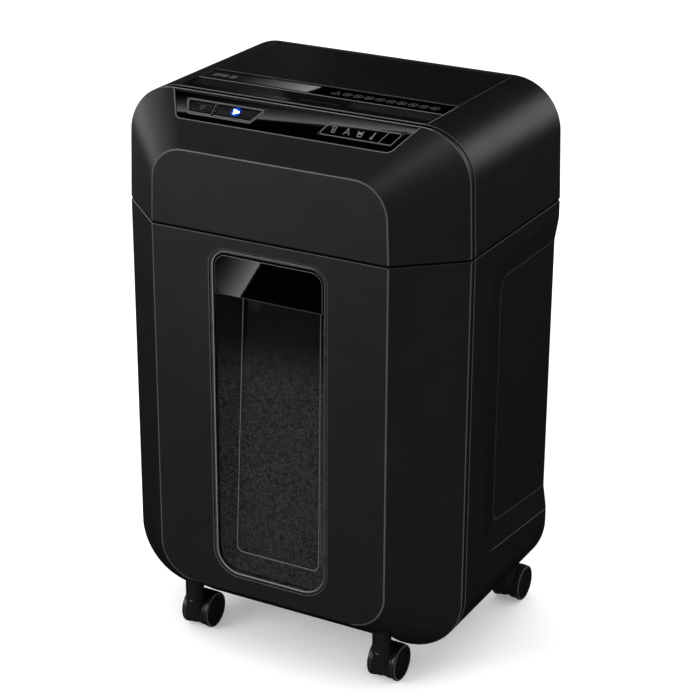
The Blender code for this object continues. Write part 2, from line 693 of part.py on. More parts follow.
def make_mechanism():
    front_discs = [DISC_PITCH * index for index in range(-5, 6)]
    rear_discs = [DISC_PITCH * (index + 0.5) for index in range(-5, 5)]
    make_cutter("cutter_front", CUTTER_FRONT, front_discs[0], len(front_discs))
    make_cutter("cutter_rear", CUTTER_REAR, rear_discs[0], len(rear_discs))
    reach = DISC_R + 0.006
    tip = CUTTER_CORE_R + 0.001
    make_stripper("stripper_front", CUTTER_FRONT[0] - reach, CUTTER_FRONT[0] - tip, front_discs)
    make_stripper("stripper_rear", CUTTER_REAR[0] + reach, CUTTER_REAR[0] + tip, rear_discs)
    for name, side in (("side_plate_left", -1), ("side_plate_right", 1)):
        make_side_plate(name, side)
    rod("tie_rod_front", "X", (-0.0960, 0.5060), 0.003, -PLATE_X + GAP, PLATE_X - GAP)
    rod("tie_rod_rear", "X", (0.0560, 0.4560), 0.003, -PLATE_X + GAP, PLATE_X - GAP)
    motor_profile = [(0.010, 0.0), (0.010, 0.018), (0.018, 0.026), (0.098, 0.026), (0.098, 0.012),
                     (0.118, 0.012), (0.118, 0.0)]
    lathe("drive_motor", motor_profile, "motor", (0.0, *MOTOR), 20)
    centre = feed_centre()
    rod("feed_shaft", "X", centre, SHAFT_R, -0.1265, GEAR_PLANES[2][0] - GAP, origin=(0.0, *centre))
    for name, side in (("feed_roller_left", -1), ("feed_roller_right", 1)):
        span = sorted((side * 0.030, side * 0.060))
        hub = circle(SHAFT_R + GAP, centre, 16)
        tread = circle(ROLLER_R, centre, 16)
        rings = ((span[0], hub), (span[0], tread), (span[1], tread), (span[1], hub))
        smooth(stack(name, "X", rings, "rubber", closed_loop=True, origin=(0.0, *centre)))
    box("control_board", (-0.1100, -0.0200), (0.0100, 0.0640), (0.4500, 0.4516), "board")
    box("bin_switch", (0.1300, 0.1500), (-0.0600, -0.0450), (0.4315, 0.4382), "gloss")


# ---------------------------------------------------------------- base and bin

def make_base():
    low, high = BASE_Z
    plate = box("base_plate", (-0.1560, 0.1560), (-0.0780, 0.1090), (low, high), "zinc")
    added = []
    bores = []
    for side in (-1, 1):
        arm = sorted((side * 0.0950, side * 0.1150))
        added.append(box("arm", arm, (-0.1105, -0.0770), (low, high)))
        for stem_x, stem_y in (FRONT_STEM, REAR_STEM):
            centre = (side * stem_x, stem_y)
            added.append(prism("socket", "Z", circle(SOCKET_R, centre, 16), SOCKET_BOTTOM_Z, low + 0.001))
            bores.append(prism("bore", "Z", circle(bearing_radius(STEM_PIN_R), centre), 0.03, 0.0620))
    combine(plate, added, "UNION")
    combine(plate, bores)
    for name, side in (("bin_rail_left", -1), ("bin_rail_right", 1)):
        span = sorted((side * 0.1220, side * 0.1300))
        box(name, span, (-0.0770, 0.1060), (high + GAP, RAIL_TOP_Z), "nylon")


def bucket_outline(half, rear_y, inset):
    """Bin outline: narrower towards the chamfered front, with a bay that takes the sunken window."""
    side = half - inset
    front = BUCKET_FRONT_Y + inset
    bay = BAY_HALF - inset
    narrow = 0.1180 - inset
    right = [(bay, BAY_FRONT_Y + inset), (bay, front), (narrow, front), (side, -0.0770), (side, rear_y - inset)]
    points = [(-x, y) for x, y in reversed(right)] + right
    return fillet(points, (0.012, 0.010, 0.004, 0.003, 0.006, 0.006, 0.003, 0.004, 0.010, 0.012), 3)


def make_bin():
    wall = 0.0025
    rings = (
        (BUCKET_BOTTOM_Z + wall, bucket_outline(0.1500, 0.100, wall)),
        (BUCKET_TOP_Z, bucket_outline(0.1580, 0.104, wall)),
        (BUCKET_TOP_Z, bucket_outline(0.1580, 0.104, 0.0)),
        (BUCKET_BOTTOM_Z, bucket_outline(0.1500, 0.100, 0.0)),
    )
    bucket = stack("bin_bucket", "Z", rings, "bin")
    view = rounded(0.0590, 0.0590, 0.0965, 0.4260, 0.022, 0.013, 5)
    combine(bucket, [prism("view", "Y", view, -0.14, -0.12)])
    trim_hole = TRIM_WIDTH
    outer = rounded(WINDOW_HALF - GAP, WINDOW_HALF - GAP, WINDOW_BOTTOM_Z + GAP, WINDOW_TOP_Z - GAP,
                    WINDOW_BOTTOM_RADIUS, WINDOW_TOP_RADIUS, 5)
    inner = rounded(WINDOW_HALF - trim_hole, WINDOW_HALF - trim_hole, WINDOW_BOTTOM_Z + trim_hole,
                    WINDOW_TOP_Z - trim_hole, WINDOW_BOTTOM_RADIUS - trim_hole, WINDOW_TOP_RADIUS - trim_hole, 5)
    rings = ((FRONT_Y, outer), (FRONT_Y, inner), (FRONT_Y + WALL, inner), (FRONT_Y + WALL, outer))
    stack("window_trim", "Y", rings, "casing", closed_loop=True)

    mouth = WINDOW_HALF - TRIM_WIDTH - GAP
    mouth_low = WINDOW_BOTTOM_Z + TRIM_WIDTH + GAP
    mouth_high = WINDOW_TOP_Z - TRIM_WIDTH - GAP
    lip_y = FRONT_Y + 0.0015
    back_y = lip_y + TUB_DEPTH
    slope = 0.0155

    def tub_ring(shrink, inset, top_shrink):
        return rounded(mouth - shrink - inset, mouth - shrink - inset, mouth_low + shrink + inset,
                       mouth_high - top_shrink - inset, 0.022 - inset, 0.013 - inset, 5)

    rings = (
        (back_y, tub_ring(slope, TUB_WALL, 0.004)),
        (lip_y, tub_ring(0.0, TUB_WALL, 0.0)),
        (lip_y, tub_ring(0.0, 0.0, 0.0)),
        (back_y + TUB_WALL, tub_ring(slope, 0.0, 0.004)),
    )
    stack("bin_window", "Y", rings, "smoked")
    handle = rounded(0.0530, 0.0530, HANDLE_BOTTOM_Z, mouth_high - TUB_WALL - 0.0014, 0.0, 0.010, 5)
    prism("bin_handle", "Y", handle, lip_y, lip_y + 0.0035, "gloss")


# ---------------------------------------------------------------- casters

def hood_object(name):
    """Caster body about the stem axis: neck and pin, web between the wheels, curved cover and axle."""
    axle = (CASTER_TRAIL, WHEEL_R)
    neck = prism("neck", "Z", circle(SOCKET_R - 0.0003), 0.0240, SOCKET_BOTTOM_Z - 0.0003)
    wheel_room = []
    for side in (-1, 1):
        span = sorted((side * 0.0029, side * 0.0108))
        wheel_room.append(prism("room", "X", circle(HOOD_R - 0.0005, axle, 16), *span))
    combine(neck, wheel_room)
    cover = arc(HOOD_R, -30, 210, 16, axle) + arc(HOOD_R - 0.0009, 210, -30, 16, axle)
    body = prism(name, "X", cover, -0.0106, 0.0106, "caster")
    added = [
        neck,
        prism("web", "X", arc(HOOD_R - 0.0005, -30, 210, 16, axle), -0.0029, 0.0029),
        prism("pin", "Z", circle(STEM_PIN_R), 0.0300, 0.0605),
        prism("axle", "X", circle(AXLE_R, axle), -0.0130, 0.0130),
    ]
    return combine(body, added, "UNION")


def wheel_mesh(side):
    """Wheel about its own axle: narrow under the cover, with a full disc outside it and a blind bore."""
    bore = bearing_radius(AXLE_R)
    profile = [(0.0134, 0.0), (0.0134, bore), (0.0033, bore), (0.0033, WHEEL_INNER_R), (0.0110, WHEEL_INNER_R),
               (0.0110, WHEEL_R), (0.0144, WHEEL_R), (0.0150, WHEEL_R - 0.0008), (0.0150, 0.0)]
    return lathe("wheel", [(side * along, radius) for along, radius in profile], "caster", (0.0, 0.0, 0.0),
                 WHEEL_SEGMENTS)


def make_casters():
    hood = hood_object("hood")
    wheels = {side: wheel_mesh(side) for side in (-1, 1)}
    places = {
        "front_left": (-FRONT_STEM[0], FRONT_STEM[1]),
        "front_right": FRONT_STEM,
        "rear_left": (-REAR_STEM[0], REAR_STEM[1]),
        "rear_right": REAR_STEM,
    }
    for place, (stem_x, stem_y) in places.items():
        stem = bpy.data.objects.new("stem_axis_" + place, None)
        stem.location = (stem_x, stem_y, 0.0)
        bpy.context.scene.collection.objects.link(stem)
        copies = [("caster_hood_" + place, hood, (0.0, 0.0, 0.0))]
        for side, label in ((-1, "left"), (1, "right")):
            copies.append(("wheel_" + place + "_" + label, wheels[side], (0.0, CASTER_TRAIL, WHEEL_R)))
        for name, source, offset in copies:
            made = bpy.data.objects.new(name, source.data)
            made.parent = stem
            made.location = offset
            bpy.context.scene.collection.objects.link(made)
    for source in (hood, *wheels.values()):
        bpy.data.objects.remove(source)


# ---------------------------------------------------------------- assembly

for leftover in list(bpy.data.objects):
    bpy.data.objects.remove(leftover)
MATERIALS = {name: material(name) for name in COLOURS}

make_cabinet_shell()
make_head_shell()
make_head_fascia()
make_bin_front()
make_control_area()
make_top_pieces()
make_feed_tray()
make_lid()
make_rear_fittings()
make_mechanism()
make_gears()
make_base()
make_bin()
make_casters()
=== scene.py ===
"""Paper shredder: fine surfaces, materials, floor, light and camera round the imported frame."""
from math import cos, pi, radians, sin

import bmesh
import bpy
from mathutils import Matrix, Vector, noise


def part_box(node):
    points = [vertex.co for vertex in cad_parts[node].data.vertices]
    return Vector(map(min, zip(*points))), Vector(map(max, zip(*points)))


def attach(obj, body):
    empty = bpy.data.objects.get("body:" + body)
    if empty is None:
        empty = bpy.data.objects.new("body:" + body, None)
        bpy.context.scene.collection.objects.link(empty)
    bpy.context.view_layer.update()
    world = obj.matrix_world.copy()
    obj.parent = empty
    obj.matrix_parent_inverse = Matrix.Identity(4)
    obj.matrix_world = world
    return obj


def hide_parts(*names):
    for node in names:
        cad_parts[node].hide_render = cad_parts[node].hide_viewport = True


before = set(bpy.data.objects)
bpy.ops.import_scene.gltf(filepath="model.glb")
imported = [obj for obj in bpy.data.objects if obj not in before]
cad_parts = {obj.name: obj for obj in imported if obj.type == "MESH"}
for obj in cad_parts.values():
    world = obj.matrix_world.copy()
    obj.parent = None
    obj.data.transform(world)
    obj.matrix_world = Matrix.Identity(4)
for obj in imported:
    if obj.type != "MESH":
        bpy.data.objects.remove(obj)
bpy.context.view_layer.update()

# Sizes. The outside repeats the CAD's; the front-to-rear joint and the sunken window are set anew.
HALF_WIDTH = 0.18
HEAD_HALF_WIDTH = 0.1777
BOTTOM_Z = 0.0385
SEAM_Z = 0.442
TOP_Z = 0.5575
TOP_RADIUS = 0.05
BOTTOM_RADIUS = 0.06
REAR_Y = 0.1135
SHELL_FRONT_Y = -0.0757
FASCIA_REAR_Y = -0.0779
CREASE_Y = -0.0834                # where the front pieces turn from the sides to their chamfers
FRONT_Y = -0.134
WALL = 0.003
SEAM_GAP = 0.001                  # half the gap between head and cabinet
PANEL_HALF = 0.1233
PANEL_HALF_TOP = 0.1218
PANEL_BOTTOM_Z = 0.075
PANEL_TOP_Z = 0.517
PANEL_TOP_RADIUS = 0.034
PANEL_BOTTOM_RADIUS = 0.037
WINDOW_HALF = 0.0623
WINDOW_BOTTOM_Z = 0.093
WINDOW_TOP_Z = 0.429
CORNER = 20                       # segments in a large corner
SMALL_CORNER = 4                  # segments in a small one
FRONT_CASTER = (0.106, -0.1035)   # the right-hand casters' swivel axes; the left-hand ones mirror them
REAR_CASTER = (0.144, 0.0998)
SEAM_ROUND = 0.0008               # rounding of the edges along the joints
CREASE_ROUND = 0.0009             # rounding of the crease round the flat front panel
LIP_Y = FRONT_Y + 0.0012          # the sunken window's lip and the handle bar's face
TUB_HALF = 0.0588                 # the sunken window's lip: half width, lower end and height
TUB_LOW = 0.097
TUB_HEIGHT = 0.328
LID_HALF = 0.1285
EXIT_X = (-0.118, 0.118)          # chute that the cut paper falls through
EXIT_Y = (-0.0765, -0.046)
REAR_WALL_Y = (0.105, 0.12)       # span of the tools that cut holes through the rear wall

EYE = Vector((0.9292, -1.6888, 1.0982))     # where the camera stands
CHAMFER_TOP = Vector((0.0, -0.0805, TOP_Z))
CHAMFER_DOWN = (Vector((0.0, FRONT_Y, PANEL_TOP_Z)) - CHAMFER_TOP).normalized()
CHAMFER_OUT = Vector((1.0, 0.0, 0.0)).cross(CHAMFER_DOWN) * -1.0


def chamfer_point(across, down, height):
    """Point on the head's top chamfer: across, down the slope, and out from it."""
    place = CHAMFER_TOP + CHAMFER_DOWN * down + CHAMFER_OUT * height
    return Vector((across, place.y, place.z))


# ---- camera, light, floor

def put_in_scene(name, data):
    made = bpy.data.objects.new(name, data)
    bpy.context.scene.collection.objects.link(made)
    return made


def aim_camera():
    """Camera at the viewing angle worked out for the picture."""
    azimuth, elevation, roll = radians(28.473), radians(22.75), radians(0.337)
    back = Vector((sin(azimuth) * cos(elevation), -cos(azimuth) * cos(elevation), sin(elevation)))
    right = (-back).cross(Vector((0, 0, 1))).normalized()
    up = right.cross(-back)
    across = right * cos(roll) + up * sin(roll)
    upward = -right * sin(roll) + up * cos(roll)
    data = bpy.data.cameras.new("camera")
    data.lens = 110.0
    data.sensor_width = 36.0
    data.clip_start = 0.05
    data.clip_end = 100.0
    camera = put_in_scene("camera", data)
    turn = Matrix((across, upward, back)).transposed().to_4x4()
    camera.matrix_world = Matrix.Translation(EYE) @ turn
    bpy.context.scene.camera = camera


def softbox(name, place, target, size, power, diffuse=True):
    data = bpy.data.lights.new(name, "AREA")
    data.shape = "RECTANGLE"
    data.size, data.size_y = size
    data.energy = power
    light = put_in_scene(name, data)
    light.location = place
    light.rotation_euler = (Vector(target) - Vector(place)).to_track_quat("-Z", "Y").to_euler()
    light.visible_camera = False
    light.visible_diffuse = diffuse


def mirror_card(name, near, far, normal, strengths):
    """Softbox that glossy plastic mirrors to the camera between two edges drawn on its surface.

    The strengths run from the near edge to the far one.
    """
    reach = 0.3
    points = []
    for step in range(len(strengths)):
        for a, b in zip(near, far):
            point = Vector(a).lerp(Vector(b), step / (len(strengths) - 1))
            sight = (point - EYE).normalized()
            points.append(point + (sight - 2 * sight.dot(normal) * normal) * reach)
    faces = [(2 * i, 2 * i + 1, 2 * i + 3, 2 * i + 2) for i in range(len(strengths) - 1)]
    mesh = bpy.data.meshes.new(name)
    mesh.from_pydata(points, [], faces)
    levels = mesh.attributes.new("level", "FLOAT", "POINT")
    for index, corner in enumerate(levels.data):
        corner.value = strengths[index // 2]
    lit = bpy.data.materials.new(name)
    lit.use_nodes = True
    nodes = lit.node_tree.nodes
    nodes.clear()
    level = add_node(nodes, "Attribute")
    level.attribute_name = "level"
    shine = add_node(nodes, "Emission", Strength=(level, "Fac"))
    add_node(nodes, "OutputMaterial", Surface=(shine, "Emission"))
    mesh.materials.append(lit)
    card = put_in_scene(name, mesh)
    for ray in ("camera", "diffuse", "shadow", "transmission"):
        setattr(card, "visible_" + ray, False)


def fading(start, stop, power=2.2):
    """Strengths that fall from start to stop, fast at first."""
    steps = 12
    high, low = start ** (1 / power), stop ** (1 / power)
    return [(high * (1 - i / steps) + low * i / steps) ** power for i in range(steps + 1)]


def mirror_cards():
    """Cards whose mirror images are the sharp light patches on the gloss parts."""
    def card_along_x(name, start, stop, ends, normal, strengths):
        near = [(start, *end) for end in ends]
        far = [(stop, *end) for end in ends]
        mirror_card(name, near, far, normal, strengths)

    top, front = Vector((0, 0, 1)), Vector((0, -1, 0))
    ramp_normal = Vector((0, -0.13, 0.99)).normalized()
    lead_in_normal = Vector((0, -0.32, 0.947)).normalized()
    strip_ends = ((-0.0402, 0.5572), (-0.0112, 0.5572))
    ramp_ends = ((-0.042, 0.5568), (-0.056, 0.5552))
    lead_in_ends = ((-0.0556, 0.5553), (-0.0606, 0.5536))
    card_along_x("card_strip", -0.0122, -0.092, strip_ends, top, fading(1.05, 0.04, 3.2))
    card_along_x("card_strip_end", -0.092, -0.135, strip_ends, top, [0.04, 0.04])
    down = CHAMFER_DOWN * 0.021
    near = [chamfer_point(-0.13, 0.0283, 0.0), chamfer_point(0.135, 0.008, 0.0)]
    mirror_card("card_panel", near, [point - down for point in near], CHAMFER_OUT, fading(2.4, 0.004, 4.0))
    card_along_x("card_ramp_left", -0.031, -0.125, ramp_ends, ramp_normal, [0.22, 0.12, 0.12])
    card_along_x("card_ramp_right", 0.042, 0.125, ramp_ends, ramp_normal, [0.15, 0.15])
    card_along_x("card_lead_in", -0.022, -0.1, lead_in_ends, lead_in_normal, fading(2.0, 0.06))
    near = [Vector((-0.0045, LIP_Y, 0.427)), Vector((-0.0345, LIP_Y, 0.377))]
    across = Vector((-0.04, 0.0, 0.02))
    mirror_card("card_handle", near, [point + across for point in near], front, fading(3.2, 0.01, 4.0))


def studio():
    """White surroundings that give even light; reflections come from softboxes and cards alone."""
    world = bpy.data.worlds.new("studio")
    world.use_nodes = True
    set_sockets(world.node_tree.nodes["Background"], Color=WHITE, Strength=1.22)
    world.cycles_visibility.glossy = False
    bpy.context.scene.world = world
    bpy.context.scene.view_settings.view_transform = "Standard"
    softbox("key", (-0.9, -1.5, 0.9), (0, -0.13, 0.45), (0.9, 0.9), 13.5)
    softbox("over_right", (0.75, -0.55, 1.65), (0.05, -0.1, 0.5), (0.7, 0.35), 4, diffuse=False)
    softbox("back_right", (0.85, 1.55, 0.95), (0.15, 0.0, 0.5), (0.5, 0.8), 3.6, diffuse=False)
    softbox("left", (-1.7, 0.5, 0.9), (-0.1, -0.1, 0.4), (0.5, 1.2), 10, diffuse=False)
    mesh = bpy.data.meshes.new("floor")
    reach = 12
    corners = [(-reach, -reach, 0), (reach, -reach, 0), (reach, reach, 0), (-reach, reach, 0)]
    mesh.from_pydata(corners, [], [(0, 1, 2, 3)])
    floor = put_in_scene("floor", mesh)
    pale, _, shader = new_material("pale_floor", (0.93, 0.93, 0.93), 1.0, specular=0.0)
    set_sockets(shader, Emission_Color=WHITE, Emission_Strength=0.22)
    mesh.materials.append(pale)
    floor.visible_glossy = False


# ---- materials

WHITE = (1.0, 1.0, 1.0, 1.0)


def set_sockets(node, **values):
    """Set input sockets, each to a value or to another node's output, given as (node, output).

    Each _ in a socket's name stands for a space.
    """
    for name, value in values.items():
        socket = node.inputs[name.replace("_", " ")]
        if isinstance(value, tuple) and isinstance(value[0], bpy.types.Node):
            source, output = value
            node.id_data.links.new(source.outputs[output], socket)
        else:
            socket.default_value = value
    return node


def add_node(nodes, kind, **values):
    return set_sockets(nodes.new("ShaderNode" + kind), **values)


def new_material(name, colour, roughness, metallic=0.0, specular=0.5):
    made = bpy.data.materials.new(name)
    made.use_nodes = True
    nodes = made.node_tree.nodes
    shader = set_sockets(nodes["Principled BSDF"], Base_Color=(*colour, 1.0), Roughness=roughness,
                         Metallic=metallic, Specular_IOR_Level=specular)
    return made, nodes, shader


def add_bump(nodes, shader, texture, strength, depth):
    bump = add_node(nodes, "Bump", Height=(texture, "Fac"), Strength=strength, Distance=depth)
    set_sockets(shader, Normal=(bump, "Normal"))


def vary_roughness(nodes, shader, texture, middle, swing):
    drift = add_node(nodes, "MapRange", Value=(texture, "Fac"), To_Min=middle - swing, To_Max=middle + swing)
    set_sockets(shader, Roughness=(drift, "Result"))


def grained(name, colour, roughness, grain=1500.0, depth=0.00006, mottle=0.04, **more):
    """Moulded surface: fine grain as bump, and a slow drift in roughness and colour."""
    made, nodes, shader = new_material(name, colour, roughness, **more)
    place = (add_node(nodes, "TexCoord"), "Object")
    fine = add_node(nodes, "TexNoise", Vector=place, Scale=grain, Detail=3.0)
    add_bump(nodes, shader, fine, 0.6, depth)
    slow = add_node(nodes, "TexNoise", Vector=place, Scale=35.0, Detail=5.0)
    vary_roughness(nodes, shader, slow, roughness, mottle)
    darker, lighter = [(*[c * factor for c in colour], 1.0) for factor in (0.88, 1.12)]
    shade = add_node(nodes, "MixRGB", Fac=(slow, "Fac"), Color1=darker, Color2=lighter)
    set_sockets(shader, Base_Color=(shade, "Color"))
    return made


def brushed(name, colour, roughness):
    """Metal with fine turning marks round or along the X axis."""
    made, nodes, shader = new_material(name, colour, roughness, metallic=1.0)
    place = (add_node(nodes, "TexCoord"), "Object")
    squeeze = add_node(nodes, "Mapping", Vector=place, Scale=(3000.0, 60.0, 60.0))
    marks = add_node(nodes, "TexNoise", Vector=(squeeze, "Vector"), Scale=1.0, Detail=2.0)
    add_bump(nodes, shader, marks, 0.3, 0.00005)
    vary_roughness(nodes, shader, marks, roughness, 0.08)
    return made


def glow(name, colour, strength):
    made, _, shader = new_material(name, colour, 0.3)
    set_sockets(shader, Emission_Color=(*colour, 1.0), Emission_Strength=strength)
    return made


def halo(name, across, down):
    """Blue light spreading in the button round the lamp: strongest in the middle, nothing at the rim."""
    made, nodes, shader = new_material(name, (0.0, 0.02, 0.2), 0.5, specular=0.0)
    place = (add_node(nodes, "TexCoord"), "Object")
    away = add_node(nodes, "VectorMath", Vector=place)
    away.operation = "DISTANCE"
    away.inputs[1].default_value = chamfer_point(across, down, 0.001)
    fade = add_node(nodes, "MapRange", Value=(away, "Value"), From_Min=0.0062, From_Max=0.0012)
    fade.interpolation_type = "SMOOTHERSTEP"
    soft = add_node(nodes, "Math", Value=(fade, "Result"))
    soft.operation = "POWER"
    soft.inputs[1].default_value = 1.1
    set_sockets(shader, Alpha=(soft, "Value"), Emission_Color=(0.004, 0.1, 1.0, 1.0), Emission_Strength=0.9)
    return made


def smoked(name):
    """Dark clear plastic with a faint ripple."""
    made, nodes, shader = new_material(name, (0.006, 0.006, 0.007), 0.06, specular=0.06)
    ripple = add_node(nodes, "TexNoise", Vector=(add_node(nodes, "TexCoord"), "Object"), Scale=18.0)
    add_bump(nodes, shader, ripple, 0.15, 0.0004)
    set_sockets(shader, Alpha=0.45)
    return made


def shredded(name):
    """Cut paper seen through smoked plastic: flecks of several greys; the heap's top fades out, and above it
    painted shade stands for the shadowed, empty top of the bin.
    """
    made, nodes, shader = new_material(name, (0.3, 0.3, 0.3), 0.9, specular=0.0)
    place = (add_node(nodes, "TexCoord"), "Object")
    wander = add_node(nodes, "TexNoise", Vector=place, Scale=300.0)
    shift = add_node(nodes, "MixRGB", Fac=0.004, Color1=place, Color2=(wander, "Color"))
    shift.blend_type = "ADD"
    flecks = add_node(nodes, "TexVoronoi", Vector=(shift, "Color"), Scale=620.0)
    tone = add_node(nodes, "SeparateColor", Color=(flecks, "Color"))
    ramp = add_node(nodes, "ValToRGB", Fac=(tone, "Red"))
    for element, grey, position in zip(ramp.color_ramp.elements, (0.06, 0.21), (0.1, 0.95)):
        element.color = (grey, grey, grey, 1)
        element.position = position
    height = add_node(nodes, "SeparateXYZ", Vector=place)
    # Painted shade: the colour is darkened above the heap's top.
    fade = add_node(nodes, "MapRange", Value=(height, "Z"), From_Min=0.345, From_Max=0.285, To_Min=0.07)
    fade.interpolation_type = "SMOOTHSTEP"
    dim = add_node(nodes, "MixRGB", Fac=1.0, Color1=(ramp, "Color"), Color2=(fade, "Result"))
    dim.blend_type = "MULTIPLY"
    set_sockets(shader, Base_Color=(dim, "Color"))
    return made


def polished(name, colour, roughness, grain, mottle, **more):
    """Shiny moulded surface, with hardly any grain."""
    return grained(name, colour, roughness, grain=grain, depth=0.000001, mottle=mottle, **more)


MATS = {
    # casing (front pieces) and side (rear shells) are one black plastic: the front copy is set darker and the
    # rear-shell copy lighter, painted shade and painted light for how the lamps fall on them.
    "casing": grained("casing_plastic_shaded_copy", (0.0066, 0.0066, 0.0069), 0.42, depth=0.00004),
    # Painted highlights: lighter plastic on the narrow rounded edges stands in for the light lines those
    # edges catch; a plain one, a dim one and a bright one.
    "edge": grained("casing_painted_highlight", (0.046, 0.046, 0.048), 0.36, depth=0.00002),
    "painted_highlight_dim": grained("casing_painted_highlight_dim", (0.02, 0.02, 0.021), 0.4, depth=0.00002),
    "painted_highlight_bright": grained("gloss_painted_highlight", (0.15, 0.15, 0.155), 0.3, depth=0.00002),
    "side": grained("side_plastic_lit_copy", (0.0078, 0.0078, 0.0082), 0.44, depth=0.00004),
    "lid": grained("lid_plastic", (0.004, 0.004, 0.0042), 0.5, depth=0.00005),
    "gloss": polished("gloss_plastic", (0.0004, 0.0004, 0.00045), 0.03, 300.0, 0.01),
    "key": polished("key_plastic", (0.0016, 0.0016, 0.0017), 0.1, 400.0, 0.02, specular=0.16),
    "ramp": polished("throat_plastic", (0.004, 0.004, 0.0042), 0.11, 400.0, 0.02, specular=0.4),
    # Painted highlight, a little brighter, for the top edges, the keys' edges and the window's back corner.
    "painted_highlight_top": grained("top_painted_highlight", (0.095, 0.095, 0.097), 0.4, depth=0.00002),
    # Near-black without shine: the dark insides behind the joints, and painted shadow in the sliver beside
    # the window's back.
    "void": grained("inner_plastic_and_painted_shadow", (0.0015, 0.0015, 0.0015), 0.6, specular=0.0),
    "trim": grained("trim_plastic", (0.02, 0.02, 0.021), 0.28, depth=0.00002),
    "bezel": grained("bezel_plastic", (0.07, 0.07, 0.072), 0.2, depth=0.00002),
    "bin": grained("bin_plastic", (0.012, 0.012, 0.012), 0.5),
    "caster": grained("caster_plastic", (0.007, 0.007, 0.0075), 0.34, depth=0.00004),
    "nylon": grained("nylon", (0.62, 0.6, 0.53), 0.45, grain=700.0),
    "rubber": grained("roller_rubber", (0.02, 0.02, 0.02), 0.8, grain=900.0, depth=0.0001),
    "board": grained("board_green", (0.012, 0.09, 0.03), 0.4, grain=400.0),
    "steel": brushed("machined_steel", (0.52, 0.52, 0.53), 0.32),
    "zinc": brushed("plated_steel", (0.6, 0.62, 0.64), 0.4),
    "motor": brushed("motor_can", (0.22, 0.22, 0.23), 0.42),
    "smoked": smoked("smoked_clear"),
    "paper": shredded("shredded_paper_and_painted_shade"),
    "mark": grained("printed_grey", (0.13, 0.13, 0.13), 0.5),
    "mark_dim": grained("printed_dim", (0.07, 0.07, 0.07), 0.5),
    "led": glow("led_white", (0.75, 0.88, 1.0), 6.0),
    "halo": halo("led_blue", -0.054, 0.0181),
}


# ---- mesh helpers

def linked(name, mesh_data, material, body, replaces=(), slot=None, angle=38.0, weld=1e-6, edge=None):
    """Object from a bmesh, smooth with sharp creases, on its body."""
    bmesh.ops.remove_doubles(mesh_data, verts=mesh_data.verts, dist=weld)
    bmesh.ops.recalc_face_normals(mesh_data, faces=mesh_data.faces)
    mesh = bpy.data.meshes.new(name)
    mesh_data.to_mesh(mesh)
    mesh_data.free()
    made = put_in_scene(name, mesh)
    mesh.materials.append(MATS[material])
    if edge:
        mesh.materials.append(MATS[edge])
    if body:
        settle(made, body, replaces, angle)
    return made


def settle(made, body, replaces=(), angle=38.0):
    """Smooth the finished mesh, keep its flats flat, and hand it to the frame."""
    made.data.shade_smooth()
    made.data.set_sharp_from_angle(angle=radians(angle))
    weigh = made.modifiers.new("flat_faces", "WEIGHTED_NORMAL")
    weigh.keep_sharp = True
    weigh.weight = 60
    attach(made, body)
    if replaces:
        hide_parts(*replaces)
    return made


def bake(made):
    """Apply the modifiers so far."""
    bpy.context.view_layer.update()
    depsgraph = bpy.context.evaluated_depsgraph_get()
    mesh = bpy.data.meshes.new_from_object(made.evaluated_get(depsgraph))
    made.modifiers.clear()
    made.data = mesh
    return made


def cut(target, tools, operation="DIFFERENCE"):
    for tool in tools:
        modifier = target.modifiers.new(tool.name, "BOOLEAN")
        modifier.operation = operation
        modifier.solver = "EXACT"
        modifier.object = tool
    bake(target)
    for tool in tools:
        bpy.data.objects.remove(tool)
    return target


def soften(made, width, angle=50.0, segments=3, edge=None):
    """Round every edge sharper than an angle; the rounding may take the second material, a painted highlight.
    """
    if edge and len(made.data.materials) == 1:
        made.data.materials.append(MATS[edge])
    bevel = made.modifiers.new("soften", "BEVEL")
    bevel.width = width
    bevel.segments = segments
    bevel.limit_method = "ANGLE"
    bevel.angle_limit = radians(angle)
    bevel.miter_outer = "MITER_ARC"
    bevel.material = 1 if edge else -1
    return bake(made)


def recolour(made, material, wanted):
    """Give another material to the faces that satisfy a test."""
    made.data.materials.append(MATS[material])
    slot = len(made.data.materials) - 1
    for face in made.data.polygons:
        if wanted(face):
            face.material_index = slot


def strip(mesh_data, ring_a, ring_b, material=0):
    count = len(ring_a)
    for index in range(count):
        following = (index + 1) % count
        corners = (ring_a[index], ring_a[following], ring_b[following], ring_b[index])
        if len(set(corners)) == 4:
            mesh_data.faces.new(corners).material_index = material


def tube(mesh_data, rings, edges=(), other=1):
    """Surface through rings of points; the strips numbered in edges take another material."""
    made = [[mesh_data.verts.new(point) for point in ring] for ring in rings]
    for number, (ring_a, ring_b) in enumerate(zip(made, made[1:])):
        strip(mesh_data, ring_a, ring_b, other if number in edges else 0)
    return made


def plug_between(mesh_data, loops):
    """Fill the flat area between closed loops of vertices."""
    edges = []
    for loop in loops:
        for index in range(len(loop)):
            pair = (loop[index], loop[(index + 1) % len(loop)])
            edges.append(mesh_data.edges.get(pair) or mesh_data.edges.new(pair))
    bmesh.ops.triangle_fill(mesh_data, edges=edges, use_beauty=True)


def solid(mesh_data, rings, loop=False, edges=(), other=1):
    """Closed surface through rings: a loop of them, or a tube with an end face each."""
    made = tube(mesh_data, rings, edges, other)
    if loop:
        strip(mesh_data, made[-1], made[0])
    else:
        mesh_data.faces.new(made[0])
        mesh_data.faces.new(made[-1])


def loft(name, rings, material, body=None, loop=False, edges=(), other=1, **more):
    mesh_data = bmesh.new()
    solid(mesh_data, rings, loop, edges, other)
    return linked(name, mesh_data, material, body, **more)


